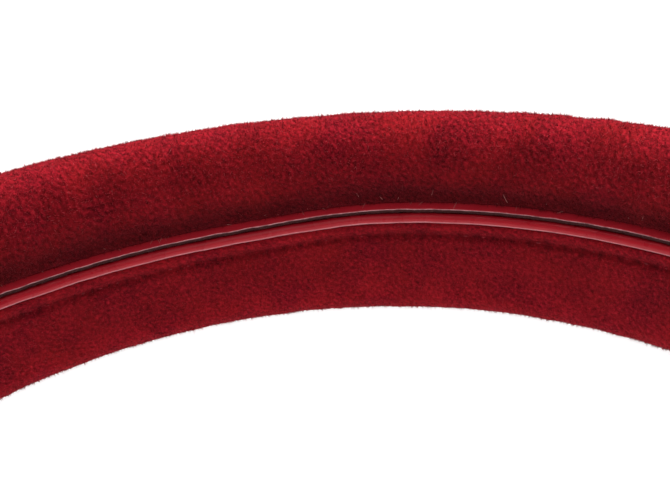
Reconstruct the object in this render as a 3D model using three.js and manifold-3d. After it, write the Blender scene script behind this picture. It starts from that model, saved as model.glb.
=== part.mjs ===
// A padded sports headband: two suede-covered foam rolls joined at a stitched waist, with a flat leather lip
// and a corded leather piping on each face, closed at the back by an elastic hook-and-loop strap that folds
// round a square metal ring. Millimetres, +Z up. The wearer faces -Y, and the closure is at +Y.
import * as THREE from "three";
import { mergeVertices } from "three/addons/utils/BufferGeometryUtils.js";
import Module from "manifold-3d";

const wasm = await Module();
wasm.setup();

// ---- Driving dimensions ----
const BAND_RADIUS = 95; // from the head's axis to the middle of the band's thickness
const BAND_HEIGHT = 43;
const BAND_STEPS = 40; // straight facets along the band
const OPEN_HALF_ANGLE = 22; // degrees from the back to each end face
const LAYER_GAP = 0.3; // between layers that touch on the real band

const SUEDE = 1.2; // leather thickness of the covers
const ROLL_HALF_THICK = 6.45; // upper roll
const ROLL_HALF_HEIGHT = 8.8;
const LOWER_HALF_THICK = 5.2; // lower band
const FOOT_HALF_WIDTH = 1.5; // flat under the lower band, where it stands
const BOTTOM_ROUND = 4.2;
const RIDGE_BULGE = 0.25; // turned-in edge above the stitch groove
const RIDGE_RISE = 1.4; // fullest part of that edge above the stitch
const EDGE_ROUND = 0.5;
const GROOVE_DEPTH = 0.8;
const GROOVE_HALF = 1.0;
const TROUGH_ROUND = 3; // inside corner of the lower cover
const FOAM_SIDES = 12;

const WAIST_Z = 21.1; // top edge of the lower cover
const STITCH_Z = 18.7;
const TUCK_Z = 16.7; // lower end of every layer caught by the stitch
const WEBBING_HALF_THICK = 1.0;
const UPPER_LEG = 1.1; // skived edge of the upper cover
const PIPING_FLANGE = 0.8;
const BEAD_RADIUS = 1.0;
const BEAD_LEATHER = 0.45;
const BEAD_OUT = 4.3; // bead centre from the middle of the band's thickness
const BEAD_RISE = 1.35; // bead centre above WAIST_Z
const BEAD_SHOULDER = 150; // degrees from outward, where the bead runs into its inner flange
const CORD_GAP = 0.15;
const CORD_SIDES = 6;
const LIP_THICK = 1.05;
const LIP_WIDTH = 2.75;
const LIP_SLOPE = 24; // degrees below the level
const LIP_ROOT_RISE = 4.75; // above WAIST_Z
const THREAD = 0.5;

// The band narrows towards its two ends.
const TAPER_START = 62; // degrees from the back
const END_HEIGHT_SHARE = 0.74;
const END_THICK_SHARE = 0.86;

const CAP_LEATHER = 1.2;
const CAP_LENGTH = 16;
const CAP_SLACK = 1.2; // between the cap and the fullest part of the roll
const CAP_HEADROOM = 0.8; // between the cap and the band's top and foot
const CAP_POCKET = 2.6; // from the cap's end wall to the band inside it
const CAP_POWER = 3.6; // squareness of the cap's outline
const CAP_SIDES = 24;
const CAP_STEPS = 3;
const CAP_STITCH_INSET = 3.2;

const STRAP_THICK = 1.4;
const STRAP_HEIGHT = 22;
const PATCH_HEIGHT = 20;
const LOOP_THICK = 1.1;
const WIRE_RADIUS = 1.3; // square ring
const WIRE_ROUND_SHARE = 0.75; // rounding of the wire's section
const RING_WINDOW = 24; // clear height inside the ring
const BAR_SPACING = 11.6; // between the ring's two upright bars
const CHAPE_REACH = 7; // from the cap's end face to the bar that the chape holds
const CHAPE_LEATHER = 1.2;
const CHAPE_HEIGHT = 20;
const TACK_WIDTH = 1.8;
const TACK_HEIGHT = 17;
const TACK_THICK = 0.5;
const TIP_CLEAR = 10; // from the tip to the strap's end cap
const LOOP_CLEAR = 12.5; // from the loop patch to the strap's end cap
const HOOK_CLEAR = 1.2; // from the hook patch to the tip
const TIP_OVERLAP = 6;
const TIP_LENGTH = 10;
const TIP_LEATHER = 0.8;
const OVERCUT = 1; // how far a cutting solid runs past what it cuts

// ---- Values that follow ----
const rad = THREE.MathUtils.degToRad;
const MID_Z = BAND_HEIGHT / 2;
const along = (length, radius = BAND_RADIUS) => length / radius; // angle of an arc
const OPEN = rad(OPEN_HALF_ANGLE);
const BAND_END = OPEN + along(CAP_LEATHER + CAP_POCKET);
const ROLL_Z = BAND_HEIGHT - ROLL_HALF_HEIGHT;
const LEG_IN = WEBBING_HALF_THICK + LAYER_GAP;
const LEG_OUT = LEG_IN + UPPER_LEG;
const FLANGE_IN = LEG_OUT + LAYER_GAP;
const FLANGE_OUT = FLANGE_IN + PIPING_FLANGE;
const BEAD_Z = WAIST_Z + BEAD_RISE;
const FOAM_INSET = SUEDE + LAYER_GAP;
const FOAM_TOP = TUCK_Z - LAYER_GAP;
const BAR_B_RADIUS = BAND_RADIUS + STRAP_THICK / 2 + LAYER_GAP + WIRE_RADIUS;
const TAIL_RADIUS = BAR_B_RADIUS + WIRE_RADIUS + LAYER_GAP + STRAP_THICK / 2;
const BAR_A_ANGLE = OPEN - along(CHAPE_REACH);
const BAR_B_ANGLE = BAR_A_ANGLE - along(Math.sqrt(BAR_SPACING ** 2 - (BAR_B_RADIUS - BAND_RADIUS) ** 2));

// ---- Materials ----
const paint = (color, roughness, metalness = 0) =>
  new THREE.MeshStandardMaterial({ color, roughness, metalness });
const suedeRed = () => paint(0x8e141f, 0.95);
const leatherRed = () => paint(0x8a1620, 0.35);
const foamGrey = () => paint(0xd8d2c4, 0.9);
const threadRed = () => paint(0x5e0c14, 0.7);
const elasticRed = () => paint(0x6d1018, 0.85);
const steel = () => paint(0xb9bbbe, 0.3, 1);

// ---- Solids ----
// A geometry as a manifold solid, with its shared vertices merged.
function solid(geometry) {
  const bare = geometry.clone();
  bare.deleteAttribute("normal");
  bare.deleteAttribute("uv");
  const merged = mergeVertices(bare, 1e-4);
  return new wasm.Manifold(
    new wasm.Mesh({
      numProp: 3,
      vertProperties: new Float32Array(merged.attributes.position.array),
      triVerts: new Uint32Array(merged.index.array),
    }),
  );
}

// A manifold solid as a geometry.
function geometryOf(made) {
  const mesh = made.getMesh();
  const geometry = new THREE.BufferGeometry();
  geometry.setAttribute("position", new THREE.BufferAttribute(mesh.vertProperties, 3));
  geometry.setIndex(new THREE.BufferAttribute(mesh.triVerts, 1));
  geometry.computeVertexNormals();
  return geometry;
}

// A point at an angle from the back (+Y) towards +X.
const place = (angle, radius, z = 0) =>
  new THREE.Vector3(radius * Math.sin(angle), radius * Math.cos(angle), z);

class LevelArc extends THREE.Curve {
  constructor(radius, from, to) {
    super();
    Object.assign(this, { radius, from, to });
  }
  getPoint(t, target = new THREE.Vector3()) {
    return target.copy(place(this.from + (this.to - this.from) * t, this.radius));
  }
}

// A section of [outward, z] points carried round the head's axis from one angle to another. Holes are more
// lists of points.
function sweep(points, from, to, steps, holes = []) {
  const flat = (list) => list.map(([out, z]) => new THREE.Vector2(-z, out));
  const shape = new THREE.Shape(flat(points));
  shape.holes = holes.map((list) => new THREE.Path(flat(list)));
  return new THREE.ExtrudeGeometry(shape, {
    steps,
    extrudePath: new LevelArc(BAND_RADIUS, from, to),
    bevelEnabled: false,
  });
}

// Narrows a swept piece towards the band's ends, about the middle of its section.
function taper(geometry) {
  const position = geometry.attributes.position;
  for (let i = 0; i < position.count; i++) {
    const x = position.getX(i);
    const y = position.getY(i);
    const radius = Math.hypot(x, y);
    const fromBack = Math.abs(Math.atan2(x, y));
    const end = 1 - THREE.MathUtils.smoothstep(fromBack, OPEN, rad(TAPER_START));
    const thick = 1 - end * (1 - END_THICK_SHARE);
    const high = 1 - end * (1 - END_HEIGHT_SHARE);
    const grown = (BAND_RADIUS + (radius - BAND_RADIUS) * thick) / radius;
    position.setXYZ(i, x * grown, y * grown, MID_Z + (position.getZ(i) - MID_Z) * high);
  }
  return geometry;
}

// A piece that runs the whole way round, from one end of the band to the other by the front.
const bandPiece = (points, holes) =>
  taper(sweep(points, BAND_END, 2 * Math.PI - BAND_END, BAND_STEPS, holes));

// Points on an ellipse in the section, with angles in degrees from outward.
function arcPoints(out, z, halfOut, halfUp, from, to, steps) {
  return Array.from({ length: steps + 1 }, (_, i) => {
    const a = rad(from + ((to - from) * i) / steps);
    return [out + halfOut * Math.cos(a), z + halfUp * Math.sin(a)];
  });
}

const mirrored = (points) => points.map(([out, z]) => [-out, z]).reverse();

// ---- Covers and cores ----
// The upper cover hangs over its foam and both its edges go down into the waist.
function upperCover() {
  const valley = THREE.MathUtils.radToDeg(Math.acos(LEG_OUT / ROLL_HALF_THICK));
  const outside = arcPoints(0, ROLL_Z, ROLL_HALF_THICK, ROLL_HALF_HEIGHT, -valley, 180 + valley, 16);
  const innerThick = ROLL_HALF_THICK - SUEDE;
  const innerHigh = ROLL_HALF_HEIGHT - SUEDE;
  const throat = THREE.MathUtils.radToDeg(Math.acos(LEG_IN / innerThick));
  const inside = arcPoints(0, ROLL_Z, innerThick, innerHigh, 180 + throat, -throat, 14);
  const ends = [
    [-LEG_OUT, TUCK_Z],
    [-LEG_IN, TUCK_Z],
  ];
  return bandPiece([[LEG_OUT, TUCK_Z], ...outside, ...ends, ...inside, [LEG_IN, TUCK_Z]]);
}

// A closed ring of points on an ellipse.
const ovalOutline = (out, z, halfOut, halfUp, sides) =>
  arcPoints(out, z, halfOut, halfUp, 0, 360 - 360 / sides, sides - 1);

const upperFoam = () =>
  bandPiece(
    ovalOutline(0, ROLL_Z, ROLL_HALF_THICK - FOAM_INSET, ROLL_HALF_HEIGHT - FOAM_INSET, FOAM_SIDES),
  );

// The outer half of the lower cover's outside, from the foot up to its turned-in top edge.
function lowerOutside() {
  const roundOut = LOWER_HALF_THICK - FOOT_HALF_WIDTH;
  return [
    ...arcPoints(FOOT_HALF_WIDTH, BOTTOM_ROUND, roundOut, BOTTOM_ROUND, -90, 0, 5),
    [LOWER_HALF_THICK, STITCH_Z - GROOVE_HALF],
    [LOWER_HALF_THICK - GROOVE_DEPTH, STITCH_Z],
    [LOWER_HALF_THICK + RIDGE_BULGE, STITCH_Z + RIDGE_RISE],
    [LOWER_HALF_THICK, WAIST_Z - EDGE_ROUND],
    [LOWER_HALF_THICK - EDGE_ROUND, WAIST_Z],
  ];
}

// The inside of the lower cover's trough, from its side down to the middle, drawn in by a gap.
const troughCorner = (gap) =>
  arcPoints(
    FLANGE_OUT + LAYER_GAP - TROUGH_ROUND,
    SUEDE + TROUGH_ROUND,
    TROUGH_ROUND - gap,
    TROUGH_ROUND - gap,
    0,
    -90,
    3,
  );

function lowerCover() {
  const half = lowerOutside();
  const inside = [[FLANGE_OUT + LAYER_GAP, WAIST_Z], ...troughCorner(0)];
  return bandPiece([...half, ...inside, ...mirrored(inside), ...mirrored(half)]);
}

function lowerFoam() {
  const half = [[FLANGE_OUT, FOAM_TOP], ...troughCorner(LAYER_GAP)];
  return bandPiece([...half, ...mirrored(half)]);
}

const rectangle = (out0, out1, z0, z1) => [
  [out0, z0],
  [out1, z0],
  [out1, z1],
  [out0, z1],
];

const stiffener = () =>
  bandPiece(
    rectangle(
      -WEBBING_HALF_THICK,
      WEBBING_HALF_THICK,
      TUCK_Z,
      ROLL_Z - ROLL_HALF_HEIGHT + FOAM_INSET - LAYER_GAP,
    ),
  );

// ---- Trims, one set on each face ----
// The lip slopes outwards and down over the piping, and its cut edge shows.
function lipOutline() {
  const slope = rad(LIP_SLOPE);
  const root = [FLANGE_IN, WAIST_Z + LIP_ROOT_RISE];
  const run = [LIP_WIDTH * Math.cos(slope), -LIP_WIDTH * Math.sin(slope)];
  const down = [-LIP_THICK * Math.sin(slope), -LIP_THICK * Math.cos(slope)];
  const foot = root[1] - LIP_THICK / Math.cos(slope);
  return [
    root,
    [FLANGE_IN, foot],
    [root[0] + run[0] + down[0], root[1] + run[1] + down[1]],
    [root[0] + run[0], root[1] + run[1]],
  ];
}

// The piping is leather folded round a cord, with its two edges tucked behind the lower cover.
function pipingOutline() {
  const foot = -THREE.MathUtils.radToDeg(Math.acos((FLANGE_OUT - BEAD_OUT) / BEAD_RADIUS));
  const bead = arcPoints(BEAD_OUT, BEAD_Z, BEAD_RADIUS, BEAD_RADIUS, foot, BEAD_SHOULDER, 9);
  return [[FLANGE_OUT, TUCK_Z], ...bead, [FLANGE_IN, BEAD_Z], [FLANGE_IN, TUCK_Z]];
}

const cordOutline = (radius) => ovalOutline(BEAD_OUT, BEAD_Z, radius, radius, CORD_SIDES);

// The stitch lies in the lower cover's groove.
function threadOutline() {
  const out = LOWER_HALF_THICK - GROOVE_DEPTH + LAYER_GAP + THREAD / 4;
  return rectangle(out, out + THREAD, STITCH_Z - THREAD / 2, STITCH_Z + THREAD / 2);
}

const facing = (points, face) => (face === "outer" ? points : mirrored(points));

// ---- Closure ----
// A superellipse [outward, z] about the middle of the band's section.
function capOutline(halfOut, halfUp) {
  return Array.from({ length: CAP_SIDES }, (_, i) => {
    const a = (2 * Math.PI * i) / CAP_SIDES;
    const bend = (v) => Math.sign(v) * Math.abs(v) ** (2 / CAP_POWER);
    return [halfOut * bend(Math.cos(a)), MID_Z + halfUp * bend(Math.sin(a))];
  });
}

const CAP_HALF_OUT = ROLL_HALF_THICK + CAP_SLACK + CAP_LEATHER;
const CAP_HALF_UP = MID_Z + CAP_HEADROOM + CAP_LEATHER;

// A leather cup over one end of the band, with a slot that the strap or the chape comes out of.
function endCap(side, slotHalfThick, slotHeight) {
  const end = OPEN + along(CAP_LENGTH);
  const turn = (from, to, outline) => solid(taper(sweep(outline, side * from, side * to, CAP_STEPS)));
  const outside = turn(OPEN, end, capOutline(CAP_HALF_OUT, CAP_HALF_UP));
  const hollow = turn(
    OPEN + along(CAP_LEATHER),
    end + along(OVERCUT),
    capOutline(CAP_HALF_OUT - CAP_LEATHER, CAP_HALF_UP - CAP_LEATHER),
  );
  const half = slotHeight / 2 + LAYER_GAP;
  const thick = slotHalfThick + LAYER_GAP;
  const slotBox = rectangle(-thick, thick, MID_Z - half, MID_Z + half);
  const slotStart = OPEN - along(OVERCUT);
  const slotEnd = OPEN + along(CAP_LEATHER + OVERCUT);
  const slot = solid(sweep(slotBox, side * slotStart, side * slotEnd, 1));
  return geometryOf(outside.subtract(hollow).subtract(slot));
}

// The thread that holds a cap's open edge, as one closed loop round it.
function capThread(side) {
  const at = OPEN + along(CAP_LENGTH - CAP_STITCH_INSET);
  const inner = capOutline(CAP_HALF_OUT + LAYER_GAP, CAP_HALF_UP + LAYER_GAP);
  const outer = capOutline(CAP_HALF_OUT + LAYER_GAP + THREAD, CAP_HALF_UP + LAYER_GAP + THREAD);
  return taper(sweep(outer, side * at, side * (at + along(THREAD)), 1, [inner]));
}

// A strip that stands on edge round the head's axis, between two angles.
function strip(radius, thick, height, from, to, steps = 8) {
  const out = radius - BAND_RADIUS;
  const low = MID_Z - height / 2;
  return sweep(rectangle(out - thick / 2, out + thick / 2, low, low + height), from, to, steps);
}

// A plan outline stood up to a height. Its own x runs along the band at the angle named heading, and its y
// points outwards there.
function standing(shape, height, angle, radius, heading = angle) {
  const geometry = new THREE.ExtrudeGeometry(shape, {
    depth: height,
    bevelEnabled: false,
    curveSegments: 6,
  });
  const at = place(angle, radius, MID_Z - height / 2);
  return geometry.rotateZ(-heading).translate(at.x, at.y, at.z);
}

// The elastic strap runs from inside its end cap to the ring, and turns back round the ring's near bar.
function adjusterStrap() {
  const run = strip(BAND_RADIUS, STRAP_THICK, STRAP_HEIGHT, -(BAND_END - along(LAYER_GAP)), BAR_B_ANGLE, 12);
  const inner = WIRE_RADIUS + LAYER_GAP;
  const outer = inner + STRAP_THICK;
  const fold = new THREE.Shape();
  fold.absarc(0, 0, outer, -Math.PI / 2, Math.PI / 2, false);
  fold.absarc(0, 0, inner, Math.PI / 2, -Math.PI / 2, true);
  const lap = new THREE.Shape();
  lap.moveTo(-OVERCUT, -outer);
  lap.lineTo(LAYER_GAP, -outer);
  lap.lineTo(LAYER_GAP, -inner);
  lap.lineTo(-OVERCUT, -inner);
  const turned = (shape) => solid(standing(shape, STRAP_HEIGHT, BAR_B_ANGLE, BAR_B_RADIUS));
  return geometryOf(solid(run).add(turned(fold)).add(turned(lap)));
}

const TAIL_START = BAR_B_ANGLE - along(LAYER_GAP, TAIL_RADIUS);
const TIP_FAR = along(TIP_CLEAR, TAIL_RADIUS) - OPEN;
const TIP_NEAR = TIP_FAR + along(TIP_LENGTH, TAIL_RADIUS);
const TAIL_END = TIP_NEAR - along(TIP_OVERLAP, TAIL_RADIUS);
const PATCH_START = BAR_B_ANGLE - along(2 * WIRE_RADIUS + STRAP_THICK + LAYER_GAP);
const LOOP_INSIDE = BAND_RADIUS + STRAP_THICK / 2 + LAYER_GAP;
const HOOK_INSIDE = LOOP_INSIDE + LOOP_THICK + LAYER_GAP;
const HOOK_OUTSIDE = TAIL_RADIUS - STRAP_THICK / 2 - LAYER_GAP;

const loopPatch = () =>
  strip(LOOP_INSIDE + LOOP_THICK / 2, LOOP_THICK, PATCH_HEIGHT, along(LOOP_CLEAR) - OPEN, PATCH_START);

const hookPatch = () =>
  strip(
    (HOOK_INSIDE + HOOK_OUTSIDE) / 2,
    HOOK_OUTSIDE - HOOK_INSIDE,
    PATCH_HEIGHT,
    TIP_NEAR + along(HOOK_CLEAR, TAIL_RADIUS),
    PATCH_START,
  );

const strapTail = () => strip(TAIL_RADIUS, STRAP_THICK, STRAP_HEIGHT, TAIL_END, TAIL_START);

// The leather tip is folded over the tail's end.
function strapTip() {
  const grow = 2 * (LAYER_GAP + TIP_LEATHER);
  const outside = solid(strip(TAIL_RADIUS, STRAP_THICK + grow, STRAP_HEIGHT + grow, TIP_FAR, TIP_NEAR, 3));
  const pocket = strip(
    TAIL_RADIUS,
    STRAP_THICK + 2 * LAYER_GAP,
    STRAP_HEIGHT + 2 * LAYER_GAP,
    TAIL_END - along(LAYER_GAP, TAIL_RADIUS),
    TIP_NEAR + along(OVERCUT),
    3,
  );
  return geometryOf(outside.subtract(solid(pocket)));
}

// A bar tack: a dense block of thread across a strap.
function barTack(angle, inside) {
  const half = along(TACK_WIDTH / 2);
  return strip(inside + LAYER_GAP + TACK_THICK / 2, TACK_THICK, TACK_HEIGHT, angle - half, angle + half, 1);
}

// The chape is doubled webbing out of the ring's end cap, with a loop round the ring's far bar.
function chape() {
  const eye = WIRE_RADIUS + LAYER_GAP;
  const rim = eye + CHAPE_LEATHER;
  const reach = CHAPE_REACH + CAP_LEATHER + CAP_POCKET - 2 * LAYER_GAP;
  const outline = new THREE.Shape();
  const flank = Math.asin(CHAPE_LEATHER / rim);
  outline.absarc(0, 0, rim, flank, 2 * Math.PI - flank, false);
  outline.lineTo(reach, -CHAPE_LEATHER);
  outline.lineTo(reach, CHAPE_LEATHER);
  outline.holes.push(new THREE.Path().absarc(0, 0, eye, 0, 2 * Math.PI, true));
  return standing(outline, CHAPE_HEIGHT, BAR_A_ANGLE, BAND_RADIUS, (BAR_A_ANGLE + BAND_END) / 2);
}

// A rectangle with round corners about the origin.
function roundedRectangle(path, halfWide, halfHigh, corner) {
  path.absarc(halfWide - corner, halfHigh - corner, corner, 0, Math.PI / 2, false);
  path.absarc(corner - halfWide, halfHigh - corner, corner, Math.PI / 2, Math.PI, false);
  path.absarc(corner - halfWide, corner - halfHigh, corner, Math.PI, 1.5 * Math.PI, false);
  path.absarc(halfWide - corner, corner - halfHigh, corner, 1.5 * Math.PI, 2 * Math.PI, false);
  return path;
}

// The square ring is bent from round wire. Its upright bars stand in the chape and in the strap's fold.
function squareRing() {
  const round = WIRE_RADIUS * WIRE_ROUND_SHARE;
  const core = WIRE_RADIUS - round;
  const halfWide = BAR_SPACING / 2;
  const halfHigh = RING_WINDOW / 2 + WIRE_RADIUS;
  const shape = roundedRectangle(new THREE.Shape(), halfWide + core, halfHigh + core, WIRE_RADIUS + core);
  shape.holes.push(
    roundedRectangle(new THREE.Path(), halfWide - core, halfHigh - core, WIRE_RADIUS - core),
  );
  const geometry = new THREE.ExtrudeGeometry(shape, {
    depth: 2 * core,
    bevelThickness: round,
    bevelSize: round,
    bevelSegments: 2,
    curveSegments: 3,
  });
  const barA = place(BAR_A_ANGLE, BAND_RADIUS, MID_Z);
  const barB = place(BAR_B_ANGLE, BAR_B_RADIUS, MID_Z);
  const centre = barA.clone().add(barB).multiplyScalar(0.5);
  geometry.translate(0, 0, -core).rotateX(Math.PI / 2);
  geometry.rotateZ(Math.atan2(barA.y - barB.y, barA.x - barB.x));
  return geometry.translate(...centre.toArray());
}

// ---- The assembly ----
const headband = new THREE.Group();

function fit(name, geometry, material) {
  const mesh = new THREE.Mesh(geometry, material);
  mesh.name = name;
  headband.add(mesh);
}

fit("upper_suede_cover", upperCover(), suedeRed());
fit("lower_suede_cover", lowerCover(), suedeRed());
fit("upper_foam_core", upperFoam(), foamGrey());
fit("lower_foam_core", lowerFoam(), foamGrey());
fit("stiffener_webbing", stiffener(), elasticRed());
for (const face of ["inner", "outer"]) {
  const hole = cordOutline(BEAD_RADIUS - BEAD_LEATHER);
  const cord = cordOutline(BEAD_RADIUS - BEAD_LEATHER - CORD_GAP);
  fit(face + "_lip_strip", bandPiece(facing(lipOutline(), face)), leatherRed());
  fit(face + "_piping_cover", bandPiece(facing(pipingOutline(), face), [facing(hole, face)]), leatherRed());
  fit(face + "_piping_cord", bandPiece(facing(cord, face)), foamGrey());
  fit(face + "_stitch_thread", bandPiece(facing(threadOutline(), face)), threadRed());
}
fit("strap_end_cap", endCap(-1, STRAP_THICK / 2, STRAP_HEIGHT), leatherRed());
fit("strap_cap_thread", capThread(-1), threadRed());
fit("ring_end_cap", endCap(1, CHAPE_LEATHER, CHAPE_HEIGHT), leatherRed());
fit("ring_cap_thread", capThread(1), threadRed());
fit("adjuster_strap", adjusterStrap(), elasticRed());
fit("strap_bar_tack", barTack(-(OPEN - along(TACK_WIDTH)), BAND_RADIUS + STRAP_THICK / 2), threadRed());
fit("loop_patch", loopPatch(), elasticRed());
fit("chape", chape(), elasticRed());
fit("chape_bar_tack", barTack(OPEN - along(TACK_WIDTH), BAND_RADIUS + CHAPE_LEATHER), threadRed());
fit("square_ring", squareRing(), steel());
fit("strap_tail", strapTail(), elasticRed());
fit("hook_patch", hookPatch(), elasticRed());
fit("strap_tip", strapTip(), leatherRed());

// The origin is under the middle of the whole headband, on the surface that it stands on.
headband.updateMatrixWorld(true);
const middle = new THREE.Box3().setFromObject(headband).getCenter(new THREE.Vector3());
for (const mesh of headband.children) mesh.geometry.translate(-middle.x, -middle.y, 0);

export default headband;
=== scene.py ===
import math

import bpy
import numpy as np
from mathutils import Matrix, Vector


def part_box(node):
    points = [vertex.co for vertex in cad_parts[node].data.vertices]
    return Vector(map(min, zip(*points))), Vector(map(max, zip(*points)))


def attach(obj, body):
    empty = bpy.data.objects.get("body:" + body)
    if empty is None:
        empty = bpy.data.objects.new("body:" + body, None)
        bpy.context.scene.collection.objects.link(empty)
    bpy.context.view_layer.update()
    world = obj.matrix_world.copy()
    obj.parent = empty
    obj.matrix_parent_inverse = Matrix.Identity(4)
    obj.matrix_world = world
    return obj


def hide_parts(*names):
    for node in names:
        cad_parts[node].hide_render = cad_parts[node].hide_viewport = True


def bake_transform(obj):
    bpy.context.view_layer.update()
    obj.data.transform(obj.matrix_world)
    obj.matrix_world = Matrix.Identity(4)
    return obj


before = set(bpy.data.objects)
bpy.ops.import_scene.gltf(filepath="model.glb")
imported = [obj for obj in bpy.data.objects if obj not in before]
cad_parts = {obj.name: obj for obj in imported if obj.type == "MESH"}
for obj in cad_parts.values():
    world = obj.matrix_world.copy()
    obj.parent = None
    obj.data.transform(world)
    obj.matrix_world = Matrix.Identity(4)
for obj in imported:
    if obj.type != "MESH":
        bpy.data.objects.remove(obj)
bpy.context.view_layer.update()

# ---------------------------------------------------------------------------------------------------------
# The cores: two foam rolls, a webbing stiffener in the waist between them and the filler cord in each
# piping. They are cut to length, laid up and then covered, so nothing of them shows.
# ---------------------------------------------------------------------------------------------------------


class Wire:
    """A socket in a material's node tree. Arithmetic on it adds Math nodes."""

    def __init__(self, tree, socket=None):
        self.tree, self.socket = tree, socket

    def node(self, kind, settings=None, inputs=None, out=0):
        """Adds a node, makes its settings first, then fills its sockets with values or links."""
        made = self.tree.nodes.new(kind)
        for key, value in (settings or {}).items():
            if key == "stops":
                ramp = made.color_ramp.elements
                while len(ramp) < len(value):
                    ramp.new(0.5)
                for stop, (place, colour) in zip(ramp, value):
                    stop.position, stop.color = place, colour
            else:
                setattr(made, key, value)
        for key, value in (inputs or {}).items():
            if isinstance(value, Wire):
                self.tree.links.new(value.socket, made.inputs[key])
            else:
                made.inputs[key].default_value = value
        return Wire(self.tree, made.outputs[out] if made.outputs else None)

    def math(self, operation, *terms, clamp=False):
        """A Math node on these values or sockets."""
        settings = {"operation": operation, "use_clamp": clamp}
        return self.node("ShaderNodeMath", settings, dict(enumerate(terms)))

    def __add__(self, other):
        return self.math("ADD", self, other)

    def __sub__(self, other):
        return self.math("SUBTRACT", self, other)

    def __rsub__(self, other):
        return self.math("SUBTRACT", other, self)

    def __mul__(self, other):
        return self.math("MULTIPLY", self, other)

    __radd__ = __add__
    __rmul__ = __mul__

    def clamp(self):
        """The value held between 0 and 1."""
        return self.math("ADD", self, 0.0, clamp=True)

    def blend(self, low, high):
        """Mixes two colours by this value."""
        return self.node("ShaderNodeMix", {"data_type": "RGBA"}, {0: self, 6: low, 7: high}, out=2)

    def ramp(self, *stops):
        """A colour from this value, by a ramp's stops."""
        return self.node("ShaderNodeValToRGB", {"stops": stops}, {"Fac": self})


def rgb(red, green, blue):
    """An opaque colour."""
    return (red, green, blue, 1.0)


def finish_of(name, recipe, **fixed):
    """A material. recipe(wire, object coordinates) gives the varying sockets, and fixed the constant ones."""
    material = bpy.data.materials.new(name)
    material.use_nodes = True
    tree = material.node_tree
    tree.nodes.clear()
    start = Wire(tree)
    place = start.node("ShaderNodeTexCoord", out=3)
    varying = recipe(start, place)
    names = {key.replace("_", " ").title().replace("Ior", "IOR"): value for key, value in fixed.items()}
    shader = start.node("ShaderNodeBsdfPrincipled", {}, names | varying)
    start.node("ShaderNodeOutputMaterial", {}, {"Surface": shader})
    return material


def noise(wire, place, size, detail=2.0, rough=0.5):
    """Cloudy noise whose lumps are about this size, in metres."""
    inputs = {"Vector": place, "Scale": 1 / size, "Detail": detail, "Roughness": rough}
    return wire.node("ShaderNodeTexNoise", {}, inputs)


def bumped(wire, height, depth, strength=1.0):
    """A normal from a height from 0 to 1 that stands for this depth, in metres."""
    return wire.node("ShaderNodeBump", {}, {"Strength": strength, "Distance": depth, "Height": height})


MM = 0.001


def foam_finish(wire, place):
    """Open-cell foam: small cells over a cloud of cream and pale yellow."""
    cells = wire.node("ShaderNodeTexVoronoi", {}, {"Vector": place, "Scale": 1 / (0.9 * MM)})
    cloud = noise(wire, place, 8 * MM)
    return {
        "Base Color": cloud.blend(rgb(0.62, 0.57, 0.47), rgb(0.78, 0.74, 0.64)),
        "Roughness": 0.85 + 0.1 * cloud,
        "Normal": bumped(wire, cells, 0.3 * MM, 0.6),
    }


def cord_finish(wire, place):
    """Spun filler cord: matted pale fibre."""
    fibre = noise(wire, place, 0.3 * MM, 3)
    return {
        "Base Color": fibre.blend(rgb(0.55, 0.5, 0.42), rgb(0.76, 0.72, 0.64)),
        "Roughness": 0.75 + 0.2 * fibre,
        "Normal": bumped(wire, fibre, 0.1 * MM),
    }


def webbing_finish(wire, place):
    """Flat webbing: picks across the strap, one each 0.9 mm, over a faint cloud of wear."""
    picks = wire.node(
        "ShaderNodeTexWave",
        {"wave_type": "BANDS", "bands_direction": "Z"},
        {"Vector": place, "Scale": 0.31 / (0.9 * MM), "Distortion": 0.6, "Detail": 1.0},
    )
    cloud = noise(wire, place, 5 * MM)
    return {
        "Base Color": (0.5 * picks + 0.5 * cloud).blend(rgb(0.05, 0.004, 0.007), rgb(0.15, 0.011, 0.018)),
        "Roughness": 0.7 + 0.2 * cloud,
        "Normal": bumped(wire, picks, 0.15 * MM),
    }


def dress(made, material):
    """Gives a piece one material."""
    made.data.materials.clear()
    made.data.materials.append(material)


foam = finish_of("open_cell_foam", foam_finish)
filler = finish_of("filler_cord", cord_finish)
webbing = finish_of("woven_webbing", webbing_finish)
for node_name, material in {
    "upper_foam_core": foam,
    "lower_foam_core": foam,
    "stiffener_webbing": webbing,
}.items():
    dress(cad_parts[node_name], material)

# ---------------------------------------------------------------------------------------------------------
# Upper suede cover: a strip of split leather drawn nap side out over the thicker roll, with both edges
# skived and sewn down into the waist. The nap stands up in small clumps and is fuzzy at the outline.
# ---------------------------------------------------------------------------------------------------------
BAND_RADIUS = 95 * MM
BAND_HEIGHT = 43 * MM
MID_Z = BAND_HEIGHT / 2
OPEN = math.radians(22)
TAPER_START = math.radians(62)
END_HEIGHT_SHARE = 0.74
END_THICK_SHARE = 0.86
CAP_LEATHER = 1.2 * MM
BAND_END = OPEN + (CAP_LEATHER + 2.6 * MM) / BAND_RADIUS
ROLL_OUT = 6.45 * MM
ROLL_UP = 8.8 * MM
ROLL_Z = BAND_HEIGHT - ROLL_UP
TUCK_Z = 16.7 * MM
LEG_OUT = 2.4 * MM
CENTRE_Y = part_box("upper_suede_cover")[0].y + BAND_RADIUS + ROLL_OUT
SEAM_DROP = 0.35 * MM
SEAM_DIP = 2.0 * MM
SEAM_DIP_AT = math.radians(159)
SEAM_DIP_HALF = math.radians(27)
DIP_FOOT, DIP_CREST = 14 * MM, 17 * MM
NAP_CELL = 0.5 * MM
CREST_PLUMP = 0.45 * MM
# The dark colour that the painted shade blends the suede and its fibres towards.
PAINTED_SHADE_DARK = rgb(0.012, 0.0006, 0.0012)


def fit_out(made, material, body, node=None):
    """Gives a piece its material, the body it rides on and the CAD node it stands for."""
    dress(made, material)
    if node:
        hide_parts(node)
    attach(made, body)
    return made


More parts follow.
